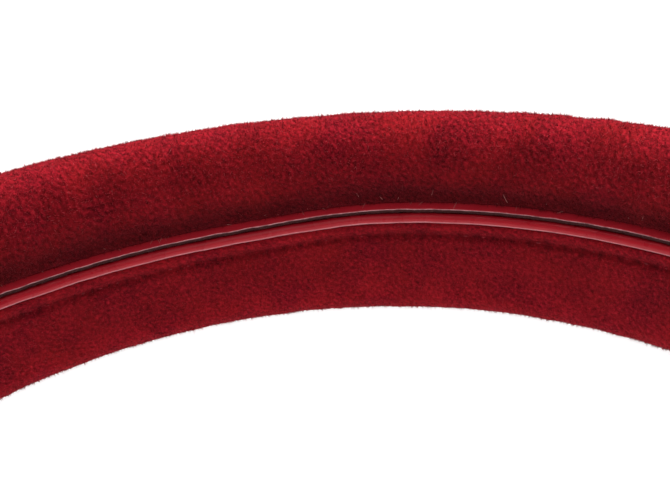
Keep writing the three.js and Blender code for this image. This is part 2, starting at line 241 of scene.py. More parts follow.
def unit(vectors):
    """The same directions at length 1."""
    return vectors / np.linalg.norm(vectors, axis=-1, keepdims=True)


def way_along(points):
    """The distance along a line of points, from its first one."""
    return np.concatenate([[0], np.cumsum(np.linalg.norm(np.diff(points, axis=0), axis=1))])


def smooth(x):
    """0 below 0, 1 above 1, and 3x^2 - 2x^3 between."""
    x = np.clip(x, 0, 1)
    return x * x * (3 - 2 * x)


def band_point(angle, out, z):
    """The section point (out, z), drawn in about the section's middle near the band's two ends, then turned
    round the head's axis to an angle from the back towards +X. The waist was sewn a little low for a
    hand's width beside the brow, and the rolls give way to it."""
    dip = SEAM_DROP + SEAM_DIP * np.exp(-(((angle - SEAM_DIP_AT) / SEAM_DIP_HALF) ** 4))
    z = z - dip * smooth(z / DIP_FOOT) * smooth((BAND_HEIGHT - z) / DIP_CREST)
    from_back = np.abs((angle + np.pi) % (2 * np.pi) - np.pi)
    end = 1 - smooth((from_back - OPEN) / (TAPER_START - OPEN))
    radius = BAND_RADIUS + out * (1 - end * (1 - END_THICK_SHARE))
    height = MID_Z + (z - MID_Z) * (1 - end * (1 - END_HEIGHT_SHARE))
    place = np.broadcast_arrays(radius * np.sin(angle), CENTRE_Y + radius * np.cos(angle), height)
    return np.stack(place, -1)


def resampled(points, cell):
    """An open outline's points at equal steps along it, about one cell apart."""
    points = np.asarray(points, float)
    run = way_along(points)
    at = np.linspace(0, run[-1], max(2, int(round(run[-1] / cell)) + 1))
    return np.stack([np.interp(at, run, points[:, k]) for k in range(2)], -1)


def band_noise(shape, cell, size, seed, spread=0.45):
    """Noise on a grid with lumps of one size: white noise kept only near that wavelength, as a Gaussian ring
    in its spectrum, and scaled to unit spread."""
    rng = np.random.default_rng(seed)
    spectrum = np.fft.rfft2(rng.standard_normal(shape))
    rate = np.hypot(np.fft.fftfreq(shape[0])[:, None], np.fft.rfftfreq(shape[1])[None]) / cell
    ring = np.exp(-(((rate * size - 1) / spread) ** 2))
    made = np.fft.irfft2(spectrum * ring, shape)
    return made / made.std()


def grid_faces(rows, columns):
    """The quads of a grid, as corner numbers, with the last column joined to the first."""
    i, j = np.meshgrid(np.arange(rows - 1), np.arange(columns), indexing="ij")
    k = (j + 1) % columns
    return np.stack([i * columns + j, i * columns + k, (i + 1) * columns + k, (i + 1) * columns + j], -1)


def folded_map(rows, columns, folds):
    """A map for a long strip: the strip is cut in folds of equal length, laid one above the other."""
    i, j = np.meshgrid(np.arange(rows - 1), np.arange(columns), indexing="ij")
    per = math.ceil((rows - 1) / folds)
    fold = i // per
    u = ((i - fold * per)[..., None] + np.array([0, 0, 1, 1])) / per
    v = (j[..., None] + np.array([0, 1, 1, 0])) / columns
    return np.stack([0.002 + 0.996 * u, (fold[..., None] + 0.01 + 0.98 * v) / folds], -1)


def new_mesh(name, points, faces, corner_map=None, ends=()):
    """A mesh object from arrays: points (n, 3), quads (m, 4), a map for the quads' corners, and end faces as
    loops of corner numbers. Every face is turned round if the volume comes out negative."""
    mesh = bpy.data.meshes.new(name)
    points = np.ascontiguousarray(points.reshape(-1, 3))
    faces = faces.reshape(-1, faces.shape[-1])
    sides = faces.shape[1]
    a, b, c = points[faces[:, 0]], points[faces[:, 1]], points[faces[:, 2]]
    volume = np.einsum("ij,ij->", a, np.cross(b, c))
    if sides == 4:
        volume += np.einsum("ij,ij->", a, np.cross(c, points[faces[:, 3]]))
    if volume < 0:
        faces = faces[:, ::-1]
        ends = [loop[::-1] for loop in ends]
        if corner_map is not None:
            corner_map = corner_map.reshape(-1, sides, 2)[:, ::-1]
    corners = np.concatenate([faces.ravel(), *[np.asarray(loop) for loop in ends]]).astype(np.int32)
    totals = np.concatenate([np.full(len(faces), sides), [len(loop) for loop in ends]]).astype(np.int32)
    mesh.vertices.add(len(points))
    mesh.vertices.foreach_set("co", points.astype(np.float32).ravel())
    mesh.loops.add(len(corners))
    mesh.loops.foreach_set("vertex_index", corners)
    mesh.polygons.add(len(totals))
    mesh.polygons.foreach_set("loop_start", np.concatenate([[0], np.cumsum(totals)[:-1]]).astype(np.int32))
    mesh.polygons.foreach_set("loop_total", totals)
    mesh.update(calc_edges=True)
    mesh.validate()
    mesh.polygons.foreach_set("use_smooth", np.ones(len(totals), bool))
    if corner_map is not None:
        places = np.zeros((len(corners), 2), np.float32)
        places[: faces.size] = corner_map.reshape(-1, 2)
        mesh.uv_layers.new(name="OFBake").data.foreach_set("uv", places.ravel())
    made = bpy.data.objects.new(name, mesh)
    bpy.context.scene.collection.objects.link(made)
    return made


def tube(name, grid, folds=1):
    """A closed tube from a grid of points, rows along it and columns round it, with a face at each end."""
    rows, columns = grid.shape[:2]
    last = (rows - 1) * columns
    ends = [np.arange(columns), last + np.arange(columns)[::-1]]
    return new_mesh(name, grid, grid_faces(rows, columns), folded_map(rows, columns, folds), ends)


def point_value(made, name, values):
    """Stores one number for each point of a mesh."""
    layer = made.data.attributes.new(name, "FLOAT", "POINT")
    layer.data.foreach_set("value", np.ascontiguousarray(values, np.float32).ravel())


def outward_normals(grid, middle):
    """Normals of a tube's grid, as the cross product of its two directions, turned away from its middle."""
    around = (np.roll(grid, -1, 1) - np.roll(grid, 1, 1)) / 2
    normal = np.cross(np.gradient(grid, axis=0), around)
    normal /= np.maximum(np.linalg.norm(normal, axis=-1, keepdims=True), 1e-12)
    return normal * np.sign(np.einsum("ijk,ijk->ij", normal, grid - middle).mean())


def stored(wire, *names):
    """The numbers stored on the mesh's points under these names."""
    return [wire.node("ShaderNodeAttribute", {"attribute_name": name}, out=2) for name in names]


def suede_finish(wire, place):
    """Suede: dark skin between the clumps and brighter fibre ends on them, as painted shade and painted light,
    with random flecks and brushed patches; and the stored shade, which paints shade into the waist, the
    stitch groove and the stitch holes, and paints light over the crest, on the ridge and towards the foot."""
    nap, brush, shade = stored(wire, "nap", "brush", "shade")
    inputs = {"Vector": place, "Scale": 1 / (0.55 * MM), "Detail": 3.0, "Roughness": 0.65, "Distortion": 0.9}
    fleck = wire.node("ShaderNodeTexNoise", {}, inputs)
    fine = noise(wire, place, 0.16 * MM, 2, 0.7)
    warm = noise(wire, place, 9 * MM, 3, 0.6)
    # The nap term paints light on the raised clumps and shade between them; flecks and brush are random tone.
    light = (0.6 * nap + 1.4 * fleck + 0.16 * brush - 0.68).clamp()
    tone = light.ramp(
        (0.0, rgb(0.055, 0.0014, 0.0036)),
        (0.35, rgb(0.19, 0.0048, 0.011)),
        (0.7, rgb(0.38, 0.0105, 0.022)),
        (1.0, rgb(0.62, 0.028, 0.042)),
    )
    tinted = (0.7 * warm - 0.25).clamp().blend(tone, rgb(0.5, 0.018, 0.012))
    return {
        # The stored shade blends towards the painted shade colour.
        "Base Color": shade.blend(PAINTED_SHADE_DARK, tinted),
        "Roughness": 0.86 + 0.1 * fleck,
        "Normal": bumped(wire, 0.7 * fleck + 0.3 * fine, 0.32 * MM),
    }


suede = finish_of(
    "red_suede",
    suede_finish,
    sheen_weight=0.8,
    sheen_roughness=0.3,
    sheen_tint=rgb(1.0, 0.09, 0.13),
    specular_ior_level=0.06,
)


def roll_outline():
    """The upper roll's outside from one skived edge round to the other: an ellipse cut off at the waist,
    let out a little where it sags over the seam, and plumper at the crest."""
    cut = math.acos(LEG_OUT / ROLL_OUT)
    turn = np.linspace(-cut, math.pi / 2, 100)
    sag = smooth((math.radians(-38) - turn) / math.radians(30))
    plump = CREST_PLUMP * smooth(np.sin(turn))
    out = ROLL_OUT * np.cos(turn) + 1.1 * MM * sag
    half_way = np.stack([out, ROLL_Z + ROLL_UP * np.sin(turn) - 0.5 * MM * sag + plump], -1)
    return np.concatenate([half_way, half_way[-2::-1] * (-1, 1)])


def roll_painted_shade_and_light(angle, out, z):
    """Painted shade towards the waist, under the roll, and painted light over the crest."""
    clear_of_painted_shade = smooth((z - 27.6 * MM) / (6 * MM))
    crest = smooth((z - 36 * MM) / (6 * MM))
    return 0.26 + 0.5 * clear_of_painted_shade + 0.24 * crest + 0 * angle


def suede_cover(name, outline, hidden, node, shade_of, relief, contrast, seed):
    """A padded suede cover: the outline carried along the band on an even grid, with the nap's clumps raised
    along the normals. The hidden points close the section inside the waist."""
    shown = resampled(outline, NAP_CELL)
    columns = len(shown)
    rows = int(BAND_RADIUS * 2 * (math.pi - BAND_END) / NAP_CELL)
    angle = np.linspace(BAND_END, 2 * math.pi - BAND_END, rows)[:, None]
    section = np.concatenate([shown, hidden])
    grid = band_point(angle, section[:, 0], section[:, 1])
    normal = outward_normals(grid, band_point(angle, 0, section[:, 1].mean()))
    shape = (rows, columns)
    lumps = band_noise(shape, NAP_CELL, 9 * MM, seed)
    clumps = band_noise(shape, NAP_CELL, 1.4 * MM, seed + 1, 0.5)
    tufts = band_noise(shape, NAP_CELL, 1.0 * MM, seed + 2, 0.3)
    patches = band_noise(shape, NAP_CELL, 16 * MM, seed + 3)
    nap = 1 / (1 + np.exp(-1.8 * (0.6 * clumps + 0.4 * tufts)))
    # The stored shade: painted shade and painted light for each column of the skin.
    shade = shade_of(angle, shown[:, 0], shown[:, 1])
    edge = np.minimum(np.arange(columns), np.arange(columns)[::-1]) / 4
    raised = (0.05 * MM * lumps + relief * (nap - 0.5)) * smooth(edge)
    height = np.zeros((rows, len(section)))
    height[:, :columns] = raised
    grid = grid + normal * height[..., None]
    made = tube(name, grid, 6)
    tone = np.full((rows, len(section)), 0.4)
    tone[:, :columns] = 0.5 + contrast * (nap - 0.5)
    point_value(made, "nap", tone)
    tone[:, :columns] = 0.5 + contrast * (1 / (1 + np.exp(-1.2 * (patches + 0.4 * lumps))) - 0.5)
    point_value(made, "brush", tone)
    tone[:, :columns] = shade
    point_value(made, "shade", tone)
    fit_out(made, suede, "band", node)
    return made, grid[:, :columns], normal[:, :columns], np.broadcast_to(shade, shape)


roll_hidden = [(-LEG_OUT, TUCK_Z), (-1.3 * MM, TUCK_Z), (1.3 * MM, TUCK_Z), (LEG_OUT, TUCK_Z)]
roll_cover, *roll_skin = suede_cover(
    "upper_suede", roll_outline(), roll_hidden, "upper_suede_cover", roll_painted_shade_and_light, 0.32 * MM, 1.0, 11
)


def fibres(name, grid, normal, shade, count, seed, length, lean, variety, spray=0.95, pale=0.0):
    """Nap fibres: count slim three-sided points rooted in random cells of the grid. Each leans with the
    brushed nap, is sprayed a little at random, and has its root sunk under the skin. Its hue is even between
    half the variety below and above the middle, moved up by pale, which paints light on the set. Each
    fibre also takes the painted shade and painted light of the skin at its root."""
    rng = np.random.default_rng(seed)
    rows, columns = grid.shape[:2]
    i = rng.uniform(0, rows - 1.001, count)
    j = rng.uniform(0, columns - 1.001, count)
    i0, j0 = i.astype(int), j.astype(int)
    fi, fj = (i - i0)[:, None], (j - j0)[:, None]

    def at(values):
        low = values[i0, j0] * (1 - fj) + values[i0, j0 + 1] * fj
        high = values[i0 + 1, j0] * (1 - fj) + values[i0 + 1, j0 + 1] * fj
        return low * (1 - fi) + high * fi

    # Each fibre takes the painted shade and light of the skin at its root.
    dark = at(shade[..., None])
    root, up = at(grid), unit(at(normal))
    along = unit(at(np.gradient(grid, axis=0)))
    across = np.cross(up, along)
    sway = rng.normal(0, spray, (count, 2)) + lean
    tip = unit(up + along * sway[:, :1] + across * sway[:, 1:])
    tall = rng.gamma(9, length / 9, count)[:, None]
    thin = rng.uniform(0.05, 0.095, count)[:, None] * MM
    spin = rng.uniform(0, 2 * math.pi, count)[:, None]
    corners = [
        root - 0.1 * MM * up + thin * (np.cos(spin + k) * along + np.sin(spin + k) * across)
        for k in (0, 2 * math.pi / 3, 4 * math.pi / 3)
    ]
    points = np.stack([*corners, root + tall * tip], 1)
    first = 4 * np.arange(count)[:, None, None]
    faces = first + np.array([[0, 2, 1], [0, 1, 3], [1, 2, 3], [2, 0, 3]])
    u = (0.01 + 0.98 * i / rows)[:, None, None] + np.zeros((count, 4, 3))
    v = (0.01 + 0.98 * j / columns)[:, None, None] + np.zeros((count, 4, 3))
    patch = np.array([[0, 0], [1, 0], [0.5, 1]]) * 0.002
    made = new_mesh(name, points, faces, np.stack([u, v], -1) + patch)
    point_value(made, "tip", np.tile([0.0, 0.0, 0.0, 1.0], count))
    point_value(made, "hue", np.repeat(0.5 + pale + variety * rng.uniform(-0.5, 0.5, count), 4))
    point_value(made, "shade", np.repeat(dark, 4))
    fit_out(made, fibre, "band")


def fibre_finish(wire, place):
    """A fibre is dark at its root and paler at its end, as painted shade and painted light over random patches,
    and it takes the skin's painted shade; a few are orange or pink.
    """
    tip, hue, shade = stored(wire, "tip", "hue", "shade")
    patch = noise(wire, place, 7 * MM, 2)
    body = hue.ramp(
        (0.0, rgb(0.13, 0.0032, 0.008)),
        (0.5, rgb(0.34, 0.0095, 0.021)),
        (0.88, rgb(0.58, 0.022, 0.036)),
        (1.0, rgb(0.68, 0.12, 0.13)),
    )
    # Painted shade at the root and painted light towards the tip, with random patches.
    lit = (0.05 + 0.42 * tip + 0.85 * patch).clamp()
    colour = lit.blend(rgb(0.04, 0.001, 0.003), body)
    return {"Base Color": shade.blend(PAINTED_SHADE_DARK, colour), "Roughness": 0.8 + 0.1 * hue}


fibre = finish_of(
    "suede_fibre",
    fibre_finish,
    sheen_weight=0.4,
    sheen_roughness=0.4,
    sheen_tint=rgb(1.0, 0.12, 0.14),
    specular_ior_level=0.1,
)


def nap_on(name, skin, columns, count, seed, length, lean, variety, spray=0.95, pale=0.0):
    """Fibres on some columns of a cover, given as its grid, normals and shade."""
    fibres(name, *[values[:, columns] for values in skin], count, seed, length, lean, variety, spray, pale)


half = roll_skin[0].shape[1] // 2
nap_on("upper_nap_outer", roll_skin, slice(0, half + 1), 48000, 21, 0.72 * MM, (0.25, 0.0), 1.0)
nap_on("upper_nap_inner", roll_skin, slice(half, None), 48000, 22, 0.72 * MM, (0.25, 0.0), 1.0)
crest = slice(half - 17, half + 18)
nap_on("upper_crest_nap", roll_skin, crest, 24000, 25, 0.42 * MM, (0.0, 0.0), 0.8, 0.4)

# ---------------------------------------------------------------------------------------------------------
# Lower suede cover: the flatter half of the band, wrapped round its foam and turned in at the top edge
# under the piping. The stitch row pulls a groove in it, and the nap lies flatter here.
# ---------------------------------------------------------------------------------------------------------
LOWER_OUT = 5.2 * MM
FOOT_HALF = 1.5 * MM
BOTTOM_ROUND = 4.2 * MM
WAIST_Z = 21.1 * MM
STITCH_Z = 18.7 * MM
GROOVE_DEPTH = 0.8 * MM
RIDGE_BULGE = 0.28 * MM
RIDGE_TOP = 21.4 * MM
RIDGE_RISE = 2.0 * MM
HOLE_SHARE = 0.13
STITCH_COUNT = 132


def lower_outline():
    """From the turned-in edge on the outer face down, under the foot and up the inner face: a flat side, a
    rounded bottom, a ridge at the top and a stitch groove, as Gaussian dips in the side."""
    z = np.linspace(RIDGE_TOP - 0.3 * MM, BOTTOM_ROUND, 160)
    groove = 0.7 * GROOVE_DEPTH * np.exp(-(((z - STITCH_Z) / (0.75 * MM)) ** 2))
    ridge = RIDGE_BULGE * np.exp(-(((z - STITCH_Z - RIDGE_RISE) / (0.9 * MM)) ** 2))
    side = np.stack([LOWER_OUT - groove + ridge, z], -1)
    turn = np.linspace(0, -math.pi / 2, 40)
    foot_out = FOOT_HALF + (LOWER_OUT - FOOT_HALF) * np.cos(turn)
    foot = np.stack([foot_out, BOTTOM_ROUND + BOTTOM_ROUND * np.sin(turn)], -1)
    half_way = np.concatenate([[(LOWER_OUT - 0.35 * MM, RIDGE_TOP)], side, foot])
    return np.concatenate([half_way, half_way[::-1] * (-1, 1)])


def side_painted_light_and_shade(angle, out, z):
    """Painted light towards the foot and on the ridge, painted shade in the groove, and the darkest painted
    shade at the stitch holes, which come at equal steps along it."""
    groove = np.exp(-(((z - STITCH_Z) / (0.8 * MM)) ** 2))
    step = (angle - BAND_END) / (2 * (math.pi - BAND_END)) * STITCH_COUNT
    hole = np.exp(-(((np.abs(step - np.round(step))) / HOLE_SHARE) ** 2))
    towards_foot = smooth((11 * MM - z) / (8 * MM))
    on_ridge = smooth((z - 19.6 * MM) / (0.8 * MM))
    # Painted light on the ridge and towards the foot; painted shade in the groove, deepest at the holes.
    side = 0.78 + 0.22 * towards_foot + 0.22 * on_ridge
    return side * (1 - groove * (0.2 + 0.42 * hole))


TROUGH_OUT, TROUGH_Z = 3.8 * MM, 19 * MM
trough = [(TROUGH_OUT, TROUGH_Z), (TROUGH_OUT, WAIST_Z)]
lower_hidden = [(-TROUGH_OUT, WAIST_Z), (-TROUGH_OUT, TROUGH_Z)] + trough
lower_cover, *lower_skin = suede_cover(
    "lower_suede", lower_outline(), lower_hidden, "lower_suede_cover", side_painted_light_and_shade, 0.15 * MM, 0.68, 41
)
half = lower_skin[0].shape[1] // 2
nap_on("lower_nap_outer", lower_skin, slice(0, half + 1), 42000, 23, 0.55 * MM, (0.5, 0.1), 0.88)
nap_on("lower_nap_inner", lower_skin, slice(half, None), 42000, 24, 0.55 * MM, (0.5, 0.1), 0.88)
foot = slice(half - 12, half + 13)
# The foot's fibres are made paler by pale: painted light where the table's light falls on the foot.
nap_on("lower_foot_nap", lower_skin, foot, 18000, 26, 0.55 * MM, (0.0, 0.0), 0.8, 0.5, 0.2)

# ---------------------------------------------------------------------------------------------------------
# Lips: a flat strip of smooth pigmented leather on each face, its root tucked under the upper roll. The
# strip slopes down over the piping, and its lower edge is cut raw, so grey-brown fibre shows there.
# ---------------------------------------------------------------------------------------------------------
LIP_THICK = 1.05 * MM
LIP_WIDTH = 2.75 * MM
LIP_SLOPE = math.radians(24)
FLANGE_IN = 2.7 * MM
LIP_ROOT_Z = WAIST_Z + 4.75 * MM
LIP_CORNER = 0.16 * MM
TRIM_CELL = 0.6 * MM
TRIM_ROWS = int(BAND_RADIUS * 2 * (math.pi - BAND_END) / TRIM_CELL)
TRIM_ANGLE = np.linspace(BAND_END, 2 * math.pi - BAND_END, TRIM_ROWS)[:, None]


def wander(size, seed):
    """How a strip along the band wanders: one column of noise with lumps of this size."""
    return band_noise((TRIM_ROWS, 8), TRIM_CELL, size, seed)[:, :1]


def leather_finish(wire, place):
    """Smooth pigmented leather: a fine pore grain under a polished finish, a little uneven in colour."""
    cloud = noise(wire, place, 3.5 * MM, 3)
    pores = noise(wire, place, 0.22 * MM, 2, 0.6)
    return {
        "Base Color": cloud.blend(rgb(0.46, 0.014, 0.027), rgb(0.58, 0.02, 0.037)),
        "Roughness": 0.26 + 0.14 * cloud,
        "Normal": bumped(wire, pores, 0.03 * MM, 0.35),
    }


leather = finish_of("smooth_red_leather", leather_finish, coat_weight=0.35, coat_roughness=0.12)


def raw_edge_finish(wire, place):
    """The cut edge of leather: matted dark fibre with a few pale strands, and a painted glint, a broken pale
    line along the top edge of the cut."""
    (cut,) = stored(wire, "cut")
    strand = noise(wire, place, 0.4 * MM, 4, 0.7)
    broken = noise(wire, place, 1.6 * MM, 3, 0.6)
    # A painted glint: a broken pale line along the top of the cut face.
    painted_glint = (1.1 - 3.0 * cut).clamp() * (2.6 * broken - 0.6).clamp()
    pale = (5.0 * strand - 2.9).clamp() * 0.5
    base = strand.blend(rgb(0.008, 0.003, 0.003), rgb(0.09, 0.022, 0.024))
    flecked = pale.blend(base, rgb(0.24, 0.14, 0.12))
    return {
        "Base Color": painted_glint.blend(flecked, rgb(0.8, 0.42, 0.45)),
        "Roughness": 0.8 + 0.15 * strand,
        "Normal": bumped(wire, strand, 0.2 * MM),
    }


raw_edge = finish_of("raw_cut_leather", raw_edge_finish, specular_ior_level=0.1)


def lip(face, seed):
    """A lip's section carried along the band: a flat top, a small round at the edge, then the cut face,
    which wanders in and out as a hand-cut edge does."""
    sign = 1 if face == "outer" else -1
    slope = np.array([math.cos(LIP_SLOPE), -math.sin(LIP_SLOPE)])
    down = np.array([-math.sin(LIP_SLOPE), -math.cos(LIP_SLOPE)])
    root = np.array([FLANGE_IN, LIP_ROOT_Z])
    edge = root + LIP_WIDTH * slope
    turn = np.linspace(0, math.pi / 2, 5)[:, None]
    corner = edge - LIP_CORNER * slope + LIP_CORNER * down
    rounded = corner + LIP_CORNER * (np.sin(turn) * slope - np.cos(turn) * down)
    cut = [edge + down * LIP_THICK * share for share in (0.35, 0.55, 0.75, 0.95)]
    under = edge - 0.3 * MM * slope + LIP_THICK * down
    foot = np.array([FLANGE_IN, root[1] - LIP_THICK / math.cos(LIP_SLOPE)])
    top = [root, root + 0.9 * MM * slope, root + 1.8 * MM * slope]
    section = np.array([*top, *rounded, *cut, under, foot])
    first = len(top) + 2
    reach = np.zeros((TRIM_ROWS, len(section), 1))
    wave = 0.035 * wander(7 * MM, seed) + 0.015 * wander(2 * MM, seed + 1)
    ragged = band_noise((TRIM_ROWS, 8), TRIM_CELL, 1.3 * MM, seed + 2)[:, : len(cut)]
    reach[:, 3:-1, 0] = wave * MM
    reach[:, 8 : 8 + len(cut), 0] += 0.05 * MM * ragged
    placed = section + reach * slope
    grid = band_point(TRIM_ANGLE, sign * placed[..., 0], placed[..., 1])
    made = tube(face + "_lip", grid, 8)
    dress(made, leather)
    made.data.materials.append(raw_edge)
    columns = len(section)
    strip_of = np.tile((np.arange(columns) >= first) & (np.arange(columns) < columns - 2), TRIM_ROWS - 1)
    material_index = np.zeros(len(made.data.polygons), np.int32)
    material_index[: len(strip_of)] = strip_of
    made.data.polygons.foreach_set("material_index", material_index)
    across = np.clip((np.arange(columns) - first - 0.5) / 6, 0, 1)
    point_value(made, "cut", np.tile(across, TRIM_ROWS))
    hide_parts(face + "_lip_strip")
    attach(made, "band")


lip("inner", 61)
lip("outer", 71)


def hair_finish(wire, place):
    """A loose fibre: pink, and paler here and there."""
    tint = noise(wire, place, 3 * MM, 1)
    colour = tint.blend(rgb(0.5, 0.1, 0.09), rgb(0.7, 0.36, 0.33))
    return {"Base Color": colour, "Roughness": 0.7 + 0.1 * tint}


hair = finish_of("loose_fibre", hair_finish)


def stacks(name, points):
    """One mesh of many short tubes. The points are (tubes, rings, sides, 3), with a face at both ends."""
    count, rings, sides = points.shape[:3]
    first = np.arange(count) * rings * sides
    faces = grid_faces(rings, sides)[None] + first[:, None, None, None]
    loop = np.arange(sides)
    ends = [start + loop for start in first]
    ends += [start + (rings - 1) * sides + loop[::-1] for start in first]
    return new_mesh(name, points, faces, None, ends)


def stray_hairs(face, seed, count=190):
    """Loose fibres that stand out of the waist and lie across the lip: each is a bent three-sided wire."""
    sign = 1 if face == "outer" else -1
    rng = np.random.default_rng(seed)
    angle = rng.uniform(BAND_END + 0.05, 2 * math.pi - BAND_END - 0.05, (count, 1))
    length = rng.gamma(5, 0.22 * MM, (count, 1))
    t = np.linspace(0, 1, 6)
    lift = rng.uniform(-0.4, 1.6, (count, 1))
    drift = rng.normal(0, 0.45, (count, 1))
    out = 3.3 * MM + length * (0.85 * t + 0.12 * np.sin(2.4 * t))
    z = 25.7 * MM + length * (lift * t - 0.45 * (1.3 - lift) * t**2 * 0.8)
    over_lip = LIP_ROOT_Z + 0.07 * MM - (out - FLANGE_IN) * math.tan(LIP_SLOPE)
    z = np.maximum(z, over_lip)
    centre = band_point(angle + drift * length * t / BAND_RADIUS, sign * out, z)
    turn = (np.arange(3) * 2 * math.pi / 3)[None, None, :, None]
    thin = 0.06 * MM * (1 - 0.6 * t)[None, :, None, None]
    forward = unit(band_point(angle + 1e-3, 0, 0) - band_point(angle, 0, 0))[:, :, None]
    points = centre[:, :, None] + thin * (np.cos(turn) * forward + np.sin(turn) * np.array([0, 0, 1.0]))
    made = stacks(face + "_loose_fibres", points)
    fit_out(made, hair, "band")


stray_hairs("inner", 65)
stray_hairs("outer", 75)

# ---------------------------------------------------------------------------------------------------------
# Pipings: thin glossy leather folded round a filler cord and sewn in between the lip and the lower cover.
# The bead stands proud of the waist and is the shiniest part of the band.
# ---------------------------------------------------------------------------------------------------------
BEAD_RADIUS = 1.1 * MM
BEAD_OUT = 4.3 * MM
BEAD_Z = WAIST_Z + 1.28 * MM
BEAD_SHOULDER = math.radians(150)
FLANGE_OUT = 3.5 * MM
BEAD_SIDES = 26
CORD_RADIUS = 0.4 * MM


def gloss_finish(wire, place):
    """Stretched glossy leather: smoother and shinier than the lip. Along its underside the colour is paled to
    pink-white as a painted highlight, with a coat there."""
    (under,) = stored(wire, "under")
    cloud = noise(wire, place, 4 * MM, 2)
    pores = noise(wire, place, 0.3 * MM, 2, 0.6)
    body = cloud.blend(rgb(0.34, 0.008, 0.017), rgb(0.47, 0.011, 0.022))
    return {
        # Painted highlight along the underside.
        "Base Color": (0.65 * under).blend(body, rgb(1.0, 0.42, 0.47)),
        "Roughness": 0.24 + 0.08 * cloud,
        "Coat Weight": under,
        "Normal": bumped(wire, pores, 0.02 * MM, 0.3),
    }


gloss = finish_of(
    "glossy_red_leather", gloss_finish, coat_roughness=0.07, coat_ior=2.6, specular_ior_level=0.22
)


def piping(face, seed):
    """A round bead with two flanges tucked into the waist, whose cord makes it swell a little as it runs."""
    sign = 1 if face == "outer" else -1
    foot = -math.acos((FLANGE_OUT - BEAD_OUT) / BEAD_RADIUS)
    turn = np.linspace(foot, BEAD_SHOULDER, BEAD_SIDES)
    swell = 1 + 0.012 * wander(6 * MM, seed)
    wave = 0.03 * MM * wander(14 * MM, seed + 1)
    bead_out = BEAD_OUT + BEAD_RADIUS * swell * np.cos(turn)
    bead_z = BEAD_Z + wave + BEAD_RADIUS * swell * np.sin(turn)
    tucked = np.array([[FLANGE_IN, BEAD_Z], [FLANGE_IN, TUCK_Z], [FLANGE_OUT, TUCK_Z]])
    rest = np.broadcast_to(tucked, (TRIM_ROWS, 3, 2))
    out = np.concatenate([bead_out, rest[..., 0]], 1)
    z = np.concatenate([bead_z, rest[..., 1]], 1)
    made = tube(face + "_piping", band_point(TRIM_ANGLE, sign * out, z), 8)
    # A painted highlight band along the bead's underside: paler colour and a coat there.
    painted_highlight = np.concatenate([smooth((math.radians(-21) - turn) / math.radians(12)), np.zeros(3)])
    point_value(made, "under", np.tile(painted_highlight, TRIM_ROWS))
    fit_out(made, gloss, "band", face + "_piping_cover")


piping("inner", 81)
piping("outer", 91)


def piping_cord(face):
    """The soft cord inside the bead: a plain round section that follows it."""
    sign = 1 if face == "outer" else -1
    turn = np.linspace(0, 2 * math.pi, 8, endpoint=False)
    angle = TRIM_ANGLE[::4]
    out = sign * (BEAD_OUT + CORD_RADIUS * np.cos(turn))
    made = tube(face + "_cord", band_point(angle, out, BEAD_Z + CORD_RADIUS * np.sin(turn)))
    fit_out(made, filler, "band", face + "_piping_cord")


piping_cord("inner")
piping_cord("outer")

# ---------------------------------------------------------------------------------------------------------
# Stitch rows: bonded thread, one stitch each 3.9 mm, pulled down into the groove of the lower cover. The
# nap closes over most of it, so it shows as a dimpled line.
# ---------------------------------------------------------------------------------------------------------
STITCH_OUT = 4.5 * MM


def thread_finish(wire, place):
    """Twisted thread: diagonal plies in the bump, and a slightly faded colour on top of them."""
    plies = wire.node(
        "ShaderNodeTexWave",
        {"wave_type": "BANDS", "bands_direction": "DIAGONAL"},
        {"Vector": place, "Scale": 0.31 / (0.35 * MM), "Distortion": 1.0},
    )
    cloud = noise(wire, place, 1.5 * MM, 2)
    return {
        "Base Color": (0.5 * plies + 0.5 * cloud).blend(rgb(0.1, 0.003, 0.007), rgb(0.32, 0.014, 0.024)),
        "Roughness": 0.45 + 0.25 * cloud,
        "Normal": bumped(wire, plies, 0.06 * MM),
    }


thread = finish_of("bonded_thread", thread_finish, specular_ior_level=0.25)


def copies(name, shape, origins, axes):
    """One mesh of many equal pieces. The shape is a stack of rings of points (rings, sides, 3), and each copy
    has an origin and three axes."""
    return stacks(name, np.einsum("rsk,ckx->crsx", shape, axes) + origins[:, None, None, :])


def axes_of(ahead, outward):
    """A copy's axes: x ahead, z outward and y square to both."""
    return np.stack([ahead, np.cross(outward, ahead), outward], 1)


def stitch_shape(length, radius, sag):
    """A stitch along x: a round thread whose two ends dive by the sag, as cos^2 of the way along."""
    t = np.array([-1, -0.94, -0.75, -0.4, 0, 0.4, 0.75, 0.94, 1])
    round_share = np.array([0.4, 0.75, 0.95, 1, 1.04, 1, 0.95, 0.75, 0.4])
    turn = np.arange(8) * math.pi / 4
    shape = np.zeros((len(t), 8, 3))
    shape[..., 0] = (t * length / 2)[:, None]
    shape[..., 1] = radius * round_share[:, None] * np.cos(turn)
    shape[..., 2] = radius * round_share[:, None] * np.sin(turn)
    shape[..., 2] -= sag * (1 - np.cos(t * math.pi / 2) ** 2)[:, None]
    return shape


def band_frames(angle, out, z, tilt):
    """Places and axes on the band: x along it (tilted a little), y up it, z outward from the given face."""
    here = band_point(angle, out, z)
    along = unit(band_point(angle + 1e-4, out, z) - here)
    outward = here - band_point(angle, 0, z)
    outward = unit(outward - along * np.sum(along * outward, -1, keepdims=True))
    up = np.cross(outward, along)
    return here, axes_of(along * np.cos(tilt)[:, None] + up * np.sin(tilt)[:, None], outward)


